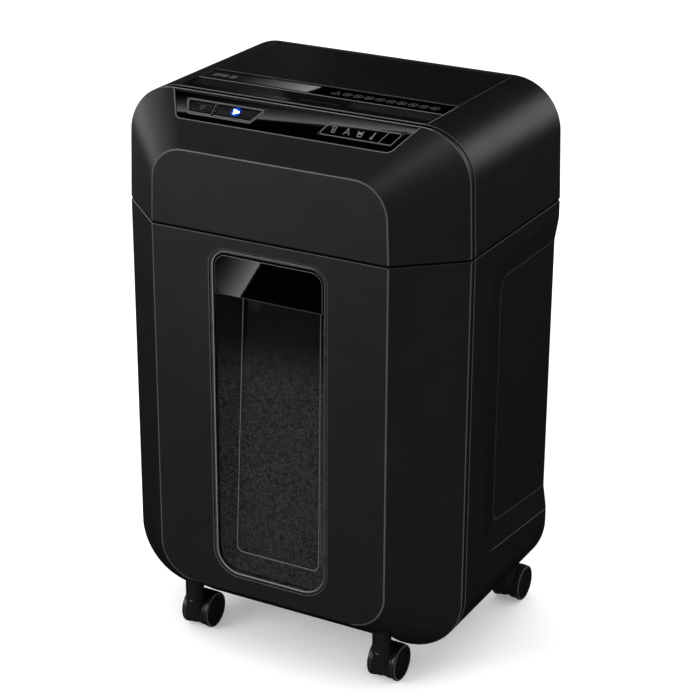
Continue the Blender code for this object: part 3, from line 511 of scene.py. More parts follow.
def rounded(half_low, half_high, low, high, corner_low, corner_high):
    """Four-sided outline round the middle line; a corner is (radius, steps)."""
    corners = (
        (half_low, low, corner_low, -90),
        (half_high, high, corner_high, 0),
        (-half_high, high, corner_high, 90),
        (-half_low, low, corner_low, 180),
    )
    points = []
    for across, up, (radius, steps), start in corners:
        centre_across = across - (radius if across > 0 else -radius)
        centre_up = up + radius if start in (-90, 180) else up - radius
        points += arc(radius, start, start + 90, steps, (centre_across, centre_up))
    return points


def trapezium(half_low, low, half_high, high):
    return [(-half_low, low), (half_low, low), (half_high, high), (-half_high, high)]


def circle(radius, centre=(0.0, 0.0), segments=32):
    turns = (2 * pi * step / segments for step in range(segments))
    return [(centre[0] + radius * cos(turn), centre[1] + radius * sin(turn)) for turn in turns]


def arc(radius, start, stop, steps, centre=(0.0, 0.0)):
    angles = (radians(start + (stop - start) * step / steps) for step in range(steps + 1))
    return [(centre[0] + radius * cos(angle), centre[1] + radius * sin(angle)) for angle in angles]


def fillet(points, radii, steps=8):
    """Outline with its corners rounded, by one radius or one each."""
    result = []
    for index, corner in enumerate(points):
        here = Vector(corner)
        back = (Vector(points[index - 1]) - here).normalized()
        ahead = (Vector(points[(index + 1) % len(points)]) - here).normalized()
        radius = radii[index] if isinstance(radii, (tuple, list)) else radii
        if not radius:
            result.append(tuple(here))
            continue
        half_angle = back.angle(ahead) / 2
        centre = here + (back + ahead).normalized() * radius / sin(half_angle)
        reach = radius * cos(half_angle) / sin(half_angle)
        start = here + back * reach - centre
        stop = here + ahead * reach - centre
        for step in range(steps + 1):
            result.append(tuple(centre + start.slerp(stop, step / steps).normalized() * radius))
    return result


def grow(points, distance):
    """Outline moved outwards by a distance, or inwards if it is negative."""
    moved = []
    for index, corner in enumerate(points):
        here = Vector(corner)
        first = (here - Vector(points[index - 1])).normalized()
        second = (Vector(points[(index + 1) % len(points)]) - here).normalized()
        normal_a = Vector((first.y, -first.x))
        normal_b = Vector((second.y, -second.x))
        mitre = (normal_a + normal_b).normalized()
        moved.append(tuple(here + mitre * distance / max(mitre.dot(normal_a), 0.3)))
    return moved


def across_x(points, x):
    return [Vector((x, p[0], p[1])) for p in points]


def across_y(points, y):
    return [Vector((p[0], y, p[1])) for p in points]


def across_z(points, z):
    return [Vector((p[0], p[1], z)) for p in points]


def mix(ring_a, ring_b, part):
    return [a.lerp(b, part) for a, b in zip(ring_a, ring_b)]


def bend(ring_a, corner, ring_b, steps=4):
    """Rings of a rounded edge that leaves ring_a, heads for the corner ring and arrives at ring_b."""
    rings = []
    for step in range(steps + 1):
        t = step / steps
        rings.append([a * (1 - t) ** 2 + c * 2 * t * (1 - t) + b * t ** 2
                      for a, c, b in zip(ring_a, corner, ring_b)])
    return rings


def bar_x(name, outline, start, stop, material="caster", **more):
    return loft(name, [across_x(outline, start), across_x(outline, stop)], material, **more)


def bar_z(name, outline, low, high, material="caster"):
    return loft(name, [across_z(outline, low), across_z(outline, high)], material)


def block(name, x_range, y_range, z_range, material="casing"):
    (left, right), (front, rear) = x_range, y_range
    return bar_z(name, [(left, front), (right, front), (right, rear), (left, rear)], *z_range, material)


# ---- casing

def end_corner(radius, inset, large):
    """Corner that is large only at the machine's top and bottom ends."""
    return (radius - inset, CORNER) if large else (max(SEAM_ROUND - inset, 0.0002), SMALL_CORNER)


def casing_outline(low, high, inset=0.0):
    """Outline of the casing seen from the front."""
    at_top = high > TOP_Z - 2 * WALL
    half_top = HEAD_HALF_WIDTH if at_top else HALF_WIDTH
    return rounded(HALF_WIDTH - inset, half_top - inset, low + inset, high - inset,
                   end_corner(BOTTOM_RADIUS, inset, low < BOTTOM_Z + 2 * WALL),
                   end_corner(TOP_RADIUS, inset, at_top))


def rear_cup(name, low, high):
    """Rear shell: a cup open to the front, with both its front edge and its rear edge rounded."""
    def ring(y, inset):
        return across_y(casing_outline(low, high, inset), y)

    front = SHELL_FRONT_Y
    rings = [ring(REAR_Y - WALL, WALL), ring(front + 0.001, WALL), ring(front, WALL - 0.0006)]
    rings += bend(ring(front, SEAM_ROUND), ring(front, 0), ring(front + SEAM_ROUND, 0))
    rings += bend(ring(REAR_Y - WALL, 0), ring(REAR_Y, 0), ring(REAR_Y, WALL), 6)
    # Painted highlight on part of the rounded front edge.
    return loft(name, rings, "side", edges=(4, 5, 6), edge="edge")


def front_cup(name, low, high, panel_low, panel_high, window=None):
    """Front piece: casing outline at the back, chamfered to the flat panel, both edges rounded."""
    at_bottom = low < SEAM_Z - 0.1

    def panel(inset):
        half_top = PANEL_HALF if at_bottom else PANEL_HALF_TOP
        return rounded(PANEL_HALF - inset, half_top - inset, panel_low + inset, panel_high - inset,
                       end_corner(PANEL_BOTTOM_RADIUS, inset, at_bottom),
                       end_corner(PANEL_TOP_RADIUS, inset, not at_bottom))

    def outer(inset, y=FASCIA_REAR_Y):
        return across_y(casing_outline(low, high, inset), y)

    start = outer(0, CREASE_Y)
    stop = across_y(panel(0), FRONT_Y)

    def along(distance):
        """Ring on the chamfer, a distance from its rear edge, or before its front one if negative."""
        result = []
        for a, b in zip(start, stop):
            length = (b - a).length
            part = distance / length if distance >= 0 else 1 + distance / length
            result.append(a.lerp(b, part))
        return result

    rings = [across_y(panel(0.0016), FRONT_Y + WALL), outer(0.0038, CREASE_Y), outer(0.003)]
    rings += [outer(0.0004), outer(0.0, FASCIA_REAR_Y - 0.0004)]
    rings += bend(outer(0, CREASE_Y + SEAM_ROUND), start, along(SEAM_ROUND))
    rings += [mix(start, stop, part) for part in (0.2, 0.4, 0.6, 0.8)]
    rings += bend(along(-CREASE_ROUND), stop, across_y(panel(CREASE_ROUND), FRONT_Y))
    # Painted highlight on the rounded joint edge and on the rounded crease round the flat panel.
    rounded_strips = (5, 6, 7, 8, 14, 15, 16, 17)
    mesh_data = bmesh.new()
    if window:
        made = tube(mesh_data, rings, rounded_strips)
        hole = bend(across_y(grow(window, 0.0007), FRONT_Y), across_y(window, FRONT_Y),
                    across_y(window, FRONT_Y + 0.0007), 3)
        hole.append(across_y(window, FRONT_Y + WALL))
        inner = tube(mesh_data, hole, (0, 1, 2))
        plug_between(mesh_data, (made[-1], inner[0]))
        plug_between(mesh_data, (made[0], inner[-1]))
    else:
        solid(mesh_data, rings, edges=rounded_strips)
    return linked(name, mesh_data, "casing", None, edge="edge")


def on_edge(face):
    return face.material_index == 1


def recess_outline(front, top, bottom_front, bottom_rear, radius):
    """Side recess: open at the rear, its bottom edge rising a little to the front."""
    rear = REAR_Y + 0.01
    points = [(front, bottom_front), (rear, bottom_rear), (rear, top), (front, top)]
    return fillet(points, (radius, 0, 0, radius), 12)


def recess_tool(side, rim, floor):
    """Cutter for one side recess, sloping from its rounded rim to its flat floor."""
    wall = side * HALF_WIDTH

    def level(outline, depth):
        return across_x(outline, wall - side * depth)

    deepest = 0.0045
    steps = ((0.001, -0.002), (0.001, -0.00001), (0.0004, 0.0002))
    rings = [level(grow(rim, wider), depth) for wider, depth in steps] + [level(rim, 0.0007)]
    start, stop = rings[-1], level(floor, deepest)
    rings += [mix(start, stop, part) for part in (0.25, 0.5, 0.75, 0.96)]
    rings.append(level(grow(floor, -0.0012), deepest))
    return loft("recess", rings, "side", edges=(7,), other=2)


def make_cabinet():
    shell = rear_cup("cabinet_casing", BOTTOM_Z, SEAM_Z - SEAM_GAP)
    # Third material: dim painted highlight along the edge of each recess's floor.
    shell.data.materials.append(MATS["painted_highlight_dim"])
    rim = recess_outline(-0.0385, 0.423, 0.126, 0.111, 0.025)
    floor = recess_outline(-0.0085, 0.4, 0.15, 0.135, 0.012)
    padded = [(min(y, REAR_Y - 0.001), z) for y, z in rim]
    tools = []
    pads = []
    for side in (-1, 1):
        wall = side * HALF_WIDTH
        pads.append(bar_x("pad", padded, wall - side * 0.0075, wall - side * 0.0015, "side"))
        tools.append(recess_tool(side, rim, floor))
    tools.append(block("exit", EXIT_X, EXIT_Y, (0.43, 0.45)))
    for side in (-1, 1):
        socket = circle(0.0099, (side * REAR_CASTER[0], REAR_CASTER[1]))
        tools.append(bar_z("socket", socket, 0.03, 0.064, "side"))
    cut(shell, pads, "UNION")
    cut(shell, tools)
    settle(shell, "cabinet", ["cabinet_shell"], 30.0)


def rear_hole(name, node, gap_x, gap_z):
    """Cutter through the rear wall round a CAD node."""
    low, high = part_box(node)
    return block(name, (low.x - gap_x, high.x + gap_x), REAR_WALL_Y, (low.z - gap_z, high.z + gap_z))


def make_head():
    shell = rear_cup("head_casing", SEAM_Z + SEAM_GAP, TOP_Z)
    tools = [
        block("top", (-0.129, 0.129), (-0.0739, 0.1086), (0.55, 0.57)),
        block("exit", EXIT_X, EXIT_Y, (0.435, 0.45)),
        rear_hole("inlet", "power_inlet", 0.0003, 0.0003),
        rear_hole("rocker", "mains_switch", 0.0008, 0.0015),
        rear_hole("vent", "rear_vent", 0.0003, 0.0003),
    ]
    cut(shell, tools)
    # Bright painted highlight on the rounded edges, and on the lip along the top opening.
    soften(shell, 0.0008, 60.0, 2, "painted_highlight_bright")

    def on_top_lip(face):
        centre = face.center
        return face.normal.z > 0.9 and -0.0762 < centre.y < -0.0735 and abs(centre.x) < LID_HALF

    recolour(shell, "painted_highlight_bright", on_top_lip)
    settle(shell, "cabinet", ["head_shell"], 30.0)
    fascia = front_cup("head_front", SEAM_Z + SEAM_GAP, TOP_Z, SEAM_Z + SEAM_GAP, PANEL_TOP_Z)
    cut(fascia, [on_chamfer("panel_hole", grow(PANEL_OUTLINE, 0.0004), -0.009, 0.006, "casing")])
    soften(fascia, 0.0006, 60.0, 2)

    # Bright painted highlight on the top edges, gloss on the top face, and no painted highlight on the bottom
    # edge.
    recolour(fascia, "painted_highlight_bright", lambda face: on_edge(face) and face.center.z > TOP_Z - 0.0015)
    recolour(fascia, "gloss", lambda face: face.normal.z > 0.98 and face.center.z > TOP_Z - 0.0005)
    recolour(fascia, "casing", lambda face: on_edge(face) and face.center.z < SEAM_Z + 0.003)
    settle(fascia, "cabinet", ["head_fascia"], 30.0)


def make_bin_front():
    window = rounded(WINDOW_HALF, WINDOW_HALF, WINDOW_BOTTOM_Z, WINDOW_TOP_Z, (0.027, 16), (0.018, 12))
    top_z = SEAM_Z - SEAM_GAP
    front = front_cup("bin_front_casing", BOTTOM_Z, top_z, PANEL_BOTTOM_Z, top_z, window)
    notches = []
    for side in (-1, 1):
        middle = side * FRONT_CASTER[0]
        notches.append(block("notch", (middle - 0.011, middle + 0.011), (-0.115, -0.07), (0.03, 0.072)))
    cut(front, notches)

    def on_lower_crease(face):
        return on_edge(face) and face.center.z < 0.079 and abs(face.center.x) < 0.088

    # No painted highlight on the middle of the lower crease, and a dim one along the top edge.
    recolour(front, "casing", on_lower_crease)
    recolour(front, "painted_highlight_dim", lambda face: on_edge(face) and face.center.z > SEAM_Z - 0.004)
    settle(front, "bin", ["bin_front"], 30.0)


def make_seam_backing():
    """Dark tongues behind the joint between the front pieces and the rear shells."""
    profile = ((-0.082, 0.005), (-0.082, 0.0062), (-0.072, 0.0062),
               (-0.072, 0.0034), (-0.0745, 0.0034), (-0.0765, 0.005))
    spans = (("tongue_cabinet", BOTTOM_Z, SEAM_Z - SEAM_GAP), ("tongue_head", SEAM_Z + SEAM_GAP, TOP_Z))
    for name, low, high in spans:
        rings = [across_y(casing_outline(low, high, inset), y) for y, inset in profile]
        loft(name, rings, "void", "cabinet", loop=True, slot="casing")


def make_gap_ring():
    """Dark ring in the gap between head and cabinet, so that no light passes through the machine."""
    def plan(inset, z):
        side = HALF_WIDTH - inset
        corners = [(side, REAR_Y - inset), (side, CREASE_Y), (PANEL_HALF_TOP - inset, FRONT_Y + inset)]
        mirrored = [(-across, y) for across, y in reversed(corners)]
        return across_z(corners + mirrored, z)

    half_height = SEAM_GAP - 0.00005
    low, high = SEAM_Z - half_height, SEAM_Z + half_height
    outer, inner = 0.0014, 0.0028
    rings = [plan(outer, low), plan(outer, high), plan(inner, high), plan(inner, low)]
    loft("gap_ring", rings, "void", "cabinet", loop=True, slot="casing")


# ---- top chamfer

# Outlines on the chamfer, as (across, down the slope)
PANEL_RADII = (0.001, 0.001, 0.008, 0.008)
PANEL_OUTLINE = fillet(trapezium(0.127, 0.0038, 0.11, 0.0342), PANEL_RADII)
REVERSE_OUTLINE = [(-0.108, 0.0115), (-0.0765, 0.0115), (-0.0765, 0.0261), (-0.101, 0.0261)]
START_OUTLINE = [(-0.0755, 0.0115), (-0.027, 0.0115), (-0.036, 0.0261), (-0.0755, 0.0261)]
BUTTON_GROUP = [(-0.108, 0.0115), (-0.027, 0.0115), (-0.036, 0.0261), (-0.101, 0.0261)]
LENS_OUTLINE = [(0.0406, 0.0119), (0.1138, 0.0119), (0.107, 0.0258), (0.0347, 0.0258)]


def on_chamfer(name, outline, low, high, material="gloss"):
    rings = [[chamfer_point(u, v, height) for u, v in outline] for height in (low, high)]
    return loft(name, rings, material)


PRINT_HEIGHT = 0.00012


def stroke(mesh_data, points, width, to_world, closed=False):
    """Thin closed bar of one width along 2D points."""
    count = len(points)
    left, right = [], []
    for index, corner in enumerate(points):
        here = Vector(corner)
        before = Vector(points[index - 1]) if closed or index else here
        after = Vector(points[(index + 1) % count]) if closed or index < count - 1 else here
        first = (here - before).normalized() if here != before else (after - here).normalized()
        second = (after - here).normalized() if after != here else first
        normal = Vector((first.y + second.y, -first.x - second.x)).normalized()
        reach = width / 2 / max(normal.dot(Vector((first.y, -first.x))), 0.5)
        left.append(here + normal * reach)
        right.append(here - normal * reach)
    rings = []
    for a, b in zip(left, right):
        corners = ((a, 0.0), (a, PRINT_HEIGHT), (b, PRINT_HEIGHT), (b, 0.0))
        rings.append([to_world(point.x, point.y, height) for point, height in corners])
    solid(mesh_data, rings, closed)


def glyph(name, strokes, to_world, body, material="mark"):
    """Small printed sign made of (points, width, closed) strokes."""
    mesh_data = bmesh.new()
    for points, width, closed in strokes:
        stroke(mesh_data, points, width, to_world, closed)
    return linked(name, mesh_data, material, body, weld=1e-8)


def above_chamfer(lift):
    """Placing function for strokes at a height above the chamfer."""
    return lambda u, v, height: chamfer_point(u, v, lift + height)


def make_panel():
    panel = on_chamfer("control_panel_gloss", PANEL_OUTLINE, -0.003, 0.0)
    tools = [
        on_chamfer("bezel_hole", grow(BUTTON_GROUP, 0.0015), -0.01, 0.01),
        on_chamfer("lens_hole", grow(LENS_OUTLINE, 0.0006), -0.01, 0.01),
    ]
    cut(panel, tools)
    # Bright painted highlight on the rounded edges.
    soften(panel, 0.0005, 50.0, 2, "painted_highlight_bright")
    settle(panel, "cabinet", ["control_panel"], 30.0)


def make_panel_painted_highlight():
    """Painted highlight: a thin light line round the panel's edge, lifted at its top onto the fascia's
    slightly higher surface.
    """
    length = (Vector((0.0, FRONT_Y, PANEL_TOP_Z)) - CHAMFER_TOP).length
    rise = 0.00175
    around = fillet(trapezium(0.1274, 0.0, 0.1104, 0.0346), PANEL_RADII)
    lower = [point for point in reversed(around) if point[1] > 0.0045]
    line = [(-0.1274, 0.0036)] + lower + [(0.1274, 0.0036)]

    def lifted(u, v, height):
        return chamfer_point(u, v, rise * (1 - v / length) + 0.00004 + height)

    glyph("panel_painted_highlight", [(line, 0.001, False)], lifted, "cabinet", "painted_highlight_top")


def make_buttons():
    bezel = on_chamfer("button_rim", fillet(grow(BUTTON_GROUP, 0.001), 0.0022, 5), -0.003, 0.0005, "bezel")
    cut(bezel, [on_chamfer("inner", fillet(grow(BUTTON_GROUP, 0.00005), 0.0014, 5), -0.01, 0.01, "bezel")])
    # Bright painted highlight on the bezel's rounded edges.
    soften(bezel, 0.0003, 50.0, 2, "painted_highlight_bright")
    settle(bezel, "cabinet", ["button_bezel"], 30.0)
    for label, outline in (("reverse", REVERSE_OUTLINE), ("start", START_OUTLINE)):
        shape = fillet(grow(outline, -0.0004), 0.0012, 5)

        def level(inset, height):
            return [chamfer_point(u, v, height) for u, v in grow(shape, -inset)]

        rings = [level(0, -0.006), level(0, 0.0)]
        rings += bend(level(0, 0.0001), level(0, 0.0009), level(0.0009, 0.001))
        rings += [level(0.0018, 0.0008), level(0.0021, 0.0007)]
        body = label + "_button"
        # Painted highlight on the keys' rounded top edges.
        loft(label + "_key", rings, "key", body, replaces=[body], slot="gloss", angle=50.0,
             edges=(3, 4), edge="painted_highlight_top")


def make_indicator():
    """Indicator window with plain generic signs: a bin, a heat triangle, a stack and a probe."""
    lens = on_chamfer("indicator_window", fillet(LENS_OUTLINE, 0.002, 5), -0.003, -0.0002)
    soften(lens, 0.0003, 50.0, 2)
    settle(lens, "cabinet", ["indicator_lens"], 30.0)
    on_lens = above_chamfer(-0.0002)
    outline = fillet(grow(LENS_OUTLINE, -0.0003), 0.0018, 5)
    divider = [(0.1003, 0.0122), (0.0943, 0.0255)]
    glyph("indicator_outline", [(outline, 0.0006, True), (divider, 0.0006, False)], on_lens, "cabinet")
    marks = {
        "bin": (0.0475, [
            (trapezium(0.0018, -0.0034, 0.0015, 0.0032), 0.0006, True),
            ([(0, -0.002), (0, 0.002)], 0.0006, False)]),
        "heat": (0.061, [
            ([(-0.0028, 0.0034), (0, -0.0036), (0.0028, 0.0034)], 0.0008, False),
            ([(-0.0014, 0.0012), (0.0014, 0.0012)], 0.0007, False)]),
        "stack": (0.074, [
            ([(-0.0026, -0.0032), (-0.0018, 0.0032), (0.0018, 0.0032), (0.0026, -0.0032)], 0.0008, False),
            ([(-0.0016, -0.0004), (0.0016, -0.0004)], 0.0026, False)]),
        "probe": (0.087, [
            ([(0.001, -0.0038), (-0.0006, 0.0016)], 0.0012, False),
            (circle(0.0009, (-0.001, 0.0028), 10), 0.001, True)]),
    }
    middle = 0.0188
    for label, (u, strokes) in marks.items():
        moved = [([(u + a, middle + b) for a, b in points], *rest) for points, *rest in strokes]
        glyph("indicator_" + label, moved, on_lens, "cabinet")


def make_button_signs():
    turn = arc(0.002, -60, 240, 12, (-0.0895, 0.0188))
    stem = [(-0.0895, 0.0162), (-0.0895, 0.0185)]
    glyph("reverse_sign", [(turn, 0.0005, False), (stem, 0.0005, False)],
          above_chamfer(0.0008), "reverse_button", "mark_dim")
    corners = [(-0.0567, 0.0152), (-0.0494, 0.0179), (-0.0557, 0.0211)]
    lamp = on_chamfer("start_lamp", fillet(corners, 0.0003, 3), 0.00108, 0.0012, "led")
    settle(lamp, "start_button", ())
    disc = circle(0.0056, (-0.054, 0.0183), 40)
    settle(on_chamfer("start_lamp_glow", disc, 0.001, 0.00104, "halo"), "start_button", ())


# ---- top pieces

def make_symbol_strip():
    """Gloss strip between slot and lid, with plain generic signs."""
    low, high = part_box("symbol_strip")
    plate = block("symbol_strip_gloss", (low.x, high.x), (low.y, high.y), (low.z, high.z), "gloss")
    # Bright painted highlight on the rounded edges.
    soften(plate, 0.0007, 50.0, 3, "painted_highlight_bright")
    settle(plate, "cabinet", ["symbol_strip"], 30.0)
    y = (low.y + high.y) / 2 - 0.0005

    def sign(name, strokes, material="mark_dim"):
        glyph(name, strokes, lambda u, v, height: Vector((u, v, high.z + height)), "cabinet", material)

    triangle = [(0.0085, y - 0.0035), (0.0165, y - 0.0035), (0.0125, y + 0.0045)]
    sign("caution_sign", [(triangle, 0.001, True)])
    for index in range(9):
        x = 0.0235 + index * 0.0112
        ring = circle(0.0042, (x, y), 18)
        bar = [(x - 0.003, y + 0.003), (x + 0.003, y - 0.003)]
        item = [(x - 0.002, y - 0.0006 * (index % 3)), (x + 0.002, y + 0.0006 * (index % 2))]
        sign("ban_sign_%02d" % index, [(ring, 0.0008, True), (bar, 0.0007, False), (item, 0.0012, False)])
    for index, x in enumerate((-0.1165, -0.1085, -0.0985)):
        low_y, high_y = y - 0.003, y + 0.003
        sheet = [(x - 0.003, low_y), (x + 0.0022, low_y), (x + 0.003, high_y), (x - 0.0022, high_y)]
        text_line = [(x - 0.0016, y - 0.001), (x + 0.0016, y + 0.001)]
        sign("feed_sign_%d" % index, [(sheet, 0.0007, True), (text_line, 0.0014, False)], "mark")


def make_feed_throat():
    """Manual slot: a sloping ramp, a steeper lead-in and a narrow mouth, as one open sleeve."""
    low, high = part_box("feed_throat")
    low_y, high_y, top_z = low.y + 0.0018, high.y, high.z

    def level(z, half, front, rear):
        return across_z(fillet(trapezium(half, front, half, rear), 0.0012, 4), z)

    rings = [
        level(top_z - 0.0052, LID_HALF, low_y, high_y),
        level(top_z - 0.0006, LID_HALF, low_y, high_y),
        level(top_z, LID_HALF - 0.0004, low_y + 0.0003, high_y - 0.0005),
        level(top_z, 0.1262, low_y + 0.0008, high_y - 0.0008),
        level(top_z - 0.0002, 0.1258, low_y + 0.001, high_y - 0.0012),
        level(0.5552, 0.1236, low_y + 0.0012, -0.056),
        level(0.5537, 0.1224, low_y + 0.0016, -0.0604),
        level(0.547, 0.119, -0.069, -0.0602),
        level(0.516, 0.1165, -0.0675, -0.0605),
        level(0.516, 0.12, -0.07, -0.058),
        level(0.545, 0.121, -0.0715, -0.057),
    ]
    loft("feed_throat_gloss", rings, "ramp", "cabinet", loop=True, replaces=["feed_throat"], slot="gloss",
         angle=3.0, edge="edge")

    def on_ramp(u, v, height):
        ramp_rear, slope = -0.042, 0.13
        return Vector((u, v, top_z - 0.0002 - (ramp_rear - v) * slope + height))

    # Dim painted highlight along the ramp's groove and a tick.
    groove = [(-0.0136, -0.0545), (0.0306, -0.0545)]
    tick = [(0.0415, -0.045), (0.0415, -0.055)]
    glyph("ramp_line", [(groove, 0.0007, False), (tick, 0.0006, False)], on_ramp, "cabinet", "painted_highlight_dim")


def make_lid():
    """Auto-feed lid: a thin plate curled round its hinge, with two lugs and two pressure plate guides."""
    hinge = (0.1, 0.5495)
    front, under = -0.0102, TOP_Z - 0.0035
    outline = [(front, under), (hinge[0], under)]
    outline += arc(0.0045, 90, -20, 10, hinge)
    outline += arc(0.008, -20, 90, 14, hinge)
    outline += [(front, TOP_Z)]
    lid = bar_x("auto_lid_cover", outline, -LID_HALF, LID_HALF, "lid")
    lugs = []
    for side in (-1, 1):
        inner, outer = sorted((side * 0.1, side * 0.112))
        lugs.append(bar_x("lug", circle(0.0076, hinge), inner, outer, "lid"))
        lugs.append(bar_z("guide", circle(0.002, (side * 0.075, 0.035), 20), 0.536, 0.555, "lid"))
    cut(lid, lugs, "UNION")
    cut(lid, [bar_x("bore", circle(0.0021, hinge, 24), -0.13, 0.13, "lid")])
    # Bright painted highlight on the rounded edges.
    soften(lid, 0.0008, 60.0, 2, "painted_highlight_bright")
    settle(lid, "lid", ["auto_lid"], 30.0)


# ---- window, bin, paper

def tub_height(z):
    """Height in the sunken window, from 0 at its bottom to 1 at its top."""
    return (z - TUB_LOW) / TUB_HEIGHT


def tub_depth(up):
    return 0.013 + 0.014 * up


def tub_side_shrink(up):
    """How much nearer to the middle the side walls end at the back than at the lip."""
    return 0.0125 + 0.005 * up


def tub_ring(part, inset=0.0, back=0.0, spread=0.0):
    """Cross-section of the sunken window, at a part of the way from its lip to its flat back."""
    half = TUB_HALF - inset
    outline = rounded(half, half, TUB_LOW + inset, TUB_LOW + TUB_HEIGHT - inset,
                      (0.0215 - 0.013 * part, 12), (0.0125 - 0.005 * part, 10))
    ring = []
    for x, z in grow(outline, spread) if spread else outline:
        up = tub_height(z)
        side = 1 - part * tub_side_shrink(up) / TUB_HALF
        rise = part * (0.015 * (1 - up) - 0.004 * up)
        ring.append(Vector((x * side, LIP_Y + tub_depth(up) * part + back, z + rise)))
    return ring


def make_window_rim():
    gap = 0.0004
    hole = rounded(WINDOW_HALF - gap, WINDOW_HALF - gap, WINDOW_BOTTOM_Z + gap, WINDOW_TOP_Z - gap,
                   (0.0266, 16), (0.0176, 12))
    profile = ((0.0, 0.003), (0.0, 0.0014), (0.0004, 0.0008), (0.001, 0.0003), (0.0018, 0.0001),
               (0.0026, 0.0003), (0.003, 0.0008), (0.0033, 0.0014), (0.0033, 0.003))
    rings = [across_y(grow(hole, -inset), FRONT_Y + depth) for inset, depth in profile]
    # Bright painted highlight on the bead's rounded crown.
    loft("window_rim", rings, "trim", "bin", loop=True, replaces=["window_trim"], slot="casing",
         angle=60.0, edges=(5, 6), edge="painted_highlight_bright")


def make_window_tub():
    mesh_data = bmesh.new()
    front = [tub_ring(0.0, -0.0004), tub_ring(0.0, 0.0004, 0.0002), tub_ring(0.08, 0.0008)]
    front += [tub_ring(0.08 + 0.86 * step / 4, 0.0008) for step in range(1, 5)]
    front += [tub_ring(0.985, 0.001), tub_ring(1.0, 0.0016)]
    # Painted highlight on the rounded corner into the flat back.
    inner = tube(mesh_data, front, (7,))
    mesh_data.faces.new(inner[-1])
    thick = 0.0018
    rear = [front[0], tub_ring(0.0, -0.0004, thick), tub_ring(0.96, 0.0, thick), tub_ring(1.0, 0.0012, thick)]
    mesh_data.faces.new(tube(mesh_data, rear)[-1])
    linked("window_tub", mesh_data, "smoked", "bin", replaces=["bin_window"], slot="smoked", angle=12.0,
           edge="painted_highlight_top")


def make_tub_painted_shadow():
    """Painted shadow: a dark sliver, wider towards its top, beside the left edge of the window's flat back.
    """
    rings = []
    for z, width in ((0.386, 0.0046), (0.362, 0.0032), (0.34, 0.0018), (0.322, 0.0003)):
        up = tub_height(z)
        left = tub_side_shrink(up) + 0.002 - TUB_HALF
        depth = LIP_Y + tub_depth(up)
        near, far = depth - 0.0014, depth - 0.0009
        rings.append([Vector((x, y, z)) for x, y in
                      ((left, near), (left + width, near), (left + width, far), (left, far))])
    loft("tub_painted_shadow", rings, "void", "bin")


def make_handle_bar():
    low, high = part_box("bin_handle")[0].z, 0.4228
    shape = rounded(0.0568, 0.0568, low, high, (0.0008, SMALL_CORNER), (0.012, 12))
    rings = [across_y(grow(shape, -0.0004), LIP_Y + 0.0034)]
    edge_round = 0.0006
    rings += bend(across_y(shape, LIP_Y + edge_round), across_y(shape, LIP_Y),
                  across_y(grow(shape, -edge_round), LIP_Y))
    # Painted highlight on the bar's rounded front edge.
    loft("handle_bar", rings, "gloss", "bin", replaces=["bin_handle"], slot="gloss", angle=60.0,
         edges=(1, 2, 3, 4), edge="edge")


def make_paper():
    """Heap of cut paper lying against the sunken window from inside the bin, seen through it."""
    last, longest_side = 14, 0.004
    # The sheet lines the whole window up to its top; above the heap its material paints shade.
    levels = [tub_ring(0.07 + 0.93 * step / last, 0.0, 0.0034, 0.0004) for step in range(last + 1)]

    def sides(level):
        return zip(level, level[1:] + level[:1])

    counts = [1 + int((ahead - here).length / longest_side) for here, ahead in sides(levels[0])]

    def crumpled(extra):
        rings = []
        for level in levels:
            ring = []
            for (here, ahead), pieces in zip(sides(level), counts):
                for piece in range(pieces):
                    spot = here.lerp(ahead, piece / pieces)
                    out = Vector((spot.x, 0, spot.z - 0.26)).normalized() * extra
                    bulge = 0.0003 + 0.0005 * abs(noise.noise(spot * 260.0))
                    ring.append(spot + out + Vector((0, extra + bulge, 0)))
            rings.append(ring)
        return rings

    mesh_data = bmesh.new()
    inner = tube(mesh_data, crumpled(0.0))
    mesh_data.faces.new(inner[-1])
    outer = tube(mesh_data, crumpled(0.0009))
    mesh_data.faces.new(outer[-1])
    strip(mesh_data, inner[0], outer[0])
    linked("paper_heap", mesh_data, "paper", "bin", slot="bin")


# ---- casters

AXLE_Z = 0.0183
HALF_TREAD = (
    (0.0134, 0.0), (0.0134, 0.0021), (0.0033, 0.0021), (0.0033, 0.0166), (0.004, 0.0173), (0.0106, 0.0173),
    (0.011, 0.0176), (0.0112, 0.018), (0.0117, 0.0183), (0.0138, 0.0183), (0.0145, 0.018), (0.0149, 0.0173),
    (0.015, 0.0164), (0.0149, 0.0156), (0.0144, 0.015), (0.0142, 0.0142), (0.0143, 0.006), (0.0146, 0.0052),
    (0.0148, 0.004), (0.0148, 0.0),
)


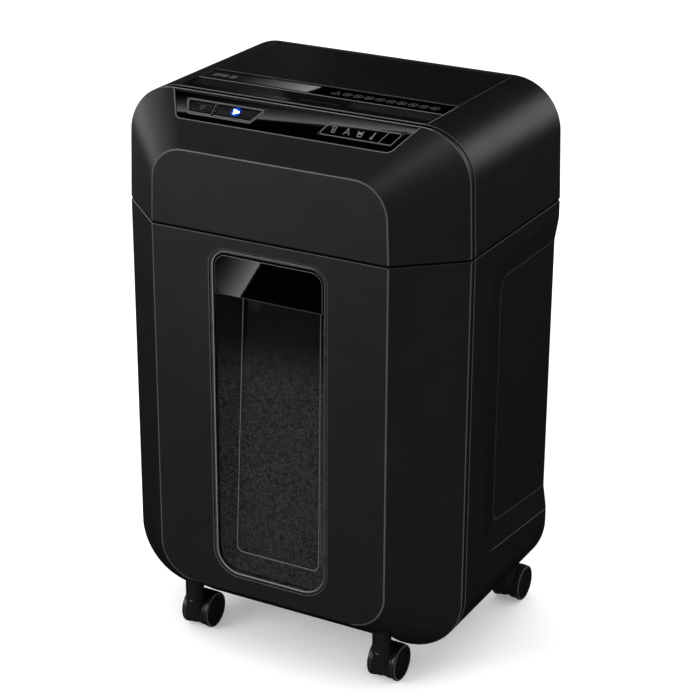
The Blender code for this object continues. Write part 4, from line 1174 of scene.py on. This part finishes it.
def make_hood(place, x, y, axle):
    """Caster hood: cover over both wheels, web between them, neck, pin and spindle in one piece."""
    cover = arc(0.0187, -30, 208, 40, axle) + arc(0.0178, 208, -30, 40, axle)
    hood = bar_x("hood_" + place, cover, x - 0.0106, x + 0.0106)
    web = bar_x("web", arc(0.0184, -30, 208, 40, axle), x - 0.0029, x + 0.0029)
    levels = ((0.022, 0.0084), (0.0362, 0.009), (0.037, 0.0084))
    neck = loft("neck", [across_z(circle(radius, (x, y), 40), z) for z, radius in levels], "caster")
    room = []
    for side in (-1, 1):
        inner, outer = sorted((side * 0.0029, side * 0.0108))
        room.append(bar_x("room", circle(0.0181, axle, 40), x + inner, x + outer))
    cut(neck, room)
    pin = bar_z("pin", circle(0.004, (x, y), 20), 0.03, 0.0605)
    spindle = bar_x("spindle", circle(0.002, axle, 20), x - 0.013, x + 0.013)
    cut(hood, [neck, web, pin, spindle], "UNION")
    soften(hood, 0.0005, 55.0, 2)
    settle(hood, "caster_" + place, ["caster_hood_" + place], 35.0)


def make_wheel(place, label, side, x, axle):
    node = "wheel_" + place + "_" + label
    rings = [across_x(circle(radius, axle, 48), x + side * along) for along, radius in HALF_TREAD]
    mesh_data = bmesh.new()
    # Painted highlight on the tyre's rounded rims.
    tube(mesh_data, rings, (7, 10, 11))
    linked("tyre_" + place + "_" + label, mesh_data, "caster", node,
           replaces=[node], slot="caster", angle=35.0, edge="edge")


def make_casters():
    for end, (across, y) in (("front", FRONT_CASTER), ("rear", REAR_CASTER)):
        for hand, x in (("left", -across), ("right", across)):
            place = end + "_" + hand
            axle = (y + 0.0155, AXLE_Z)
            make_hood(place, x, y, axle)
            for side, label in ((-1, "left"), (1, "right")):
                make_wheel(place, label, side, x, axle)


# ---- pieces kept from the CAD

KEPT = {
    "trim": ["rear_vent", "power_inlet", "mains_switch", "bin_switch"],
    "lid": ["auto_feed_tray"],
    "bin": ["bin_bucket"],
    "steel": ["lid_hinge_pin", "cutter_front", "cutter_rear", "tie_rod_front", "tie_rod_rear", "feed_shaft",
              "cutter_gear_front", "cutter_gear_rear", "main_gear", "reduction_pinion", "motor_pinion"],
    "zinc": ["side_plate_left", "side_plate_right", "pressure_plate"],
    "caster": ["base_plate"],
    "nylon": ["stripper_front", "stripper_rear", "reduction_gear", "feed_gear",
              "bin_rail_left", "bin_rail_right"],
    "rubber": ["feed_roller_left", "feed_roller_right"],
    "board": ["control_board"],
    "motor": ["drive_motor"],
}


def dress_kept():
    for material, names in KEPT.items():
        for name in names:
            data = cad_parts[name].data
            data.materials.clear()
            data.materials.append(MATS[material])


# ---- assembly

aim_camera()
studio()
mirror_cards()
make_cabinet()
make_head()
make_bin_front()
make_seam_backing()
make_gap_ring()
make_panel()
make_panel_painted_highlight()
make_buttons()
make_indicator()
make_button_signs()
make_symbol_strip()
make_feed_throat()
make_lid()
make_window_rim()
make_window_tub()
make_tub_painted_shadow()
make_handle_bar()
make_paper()
make_casters()
dress_kept()
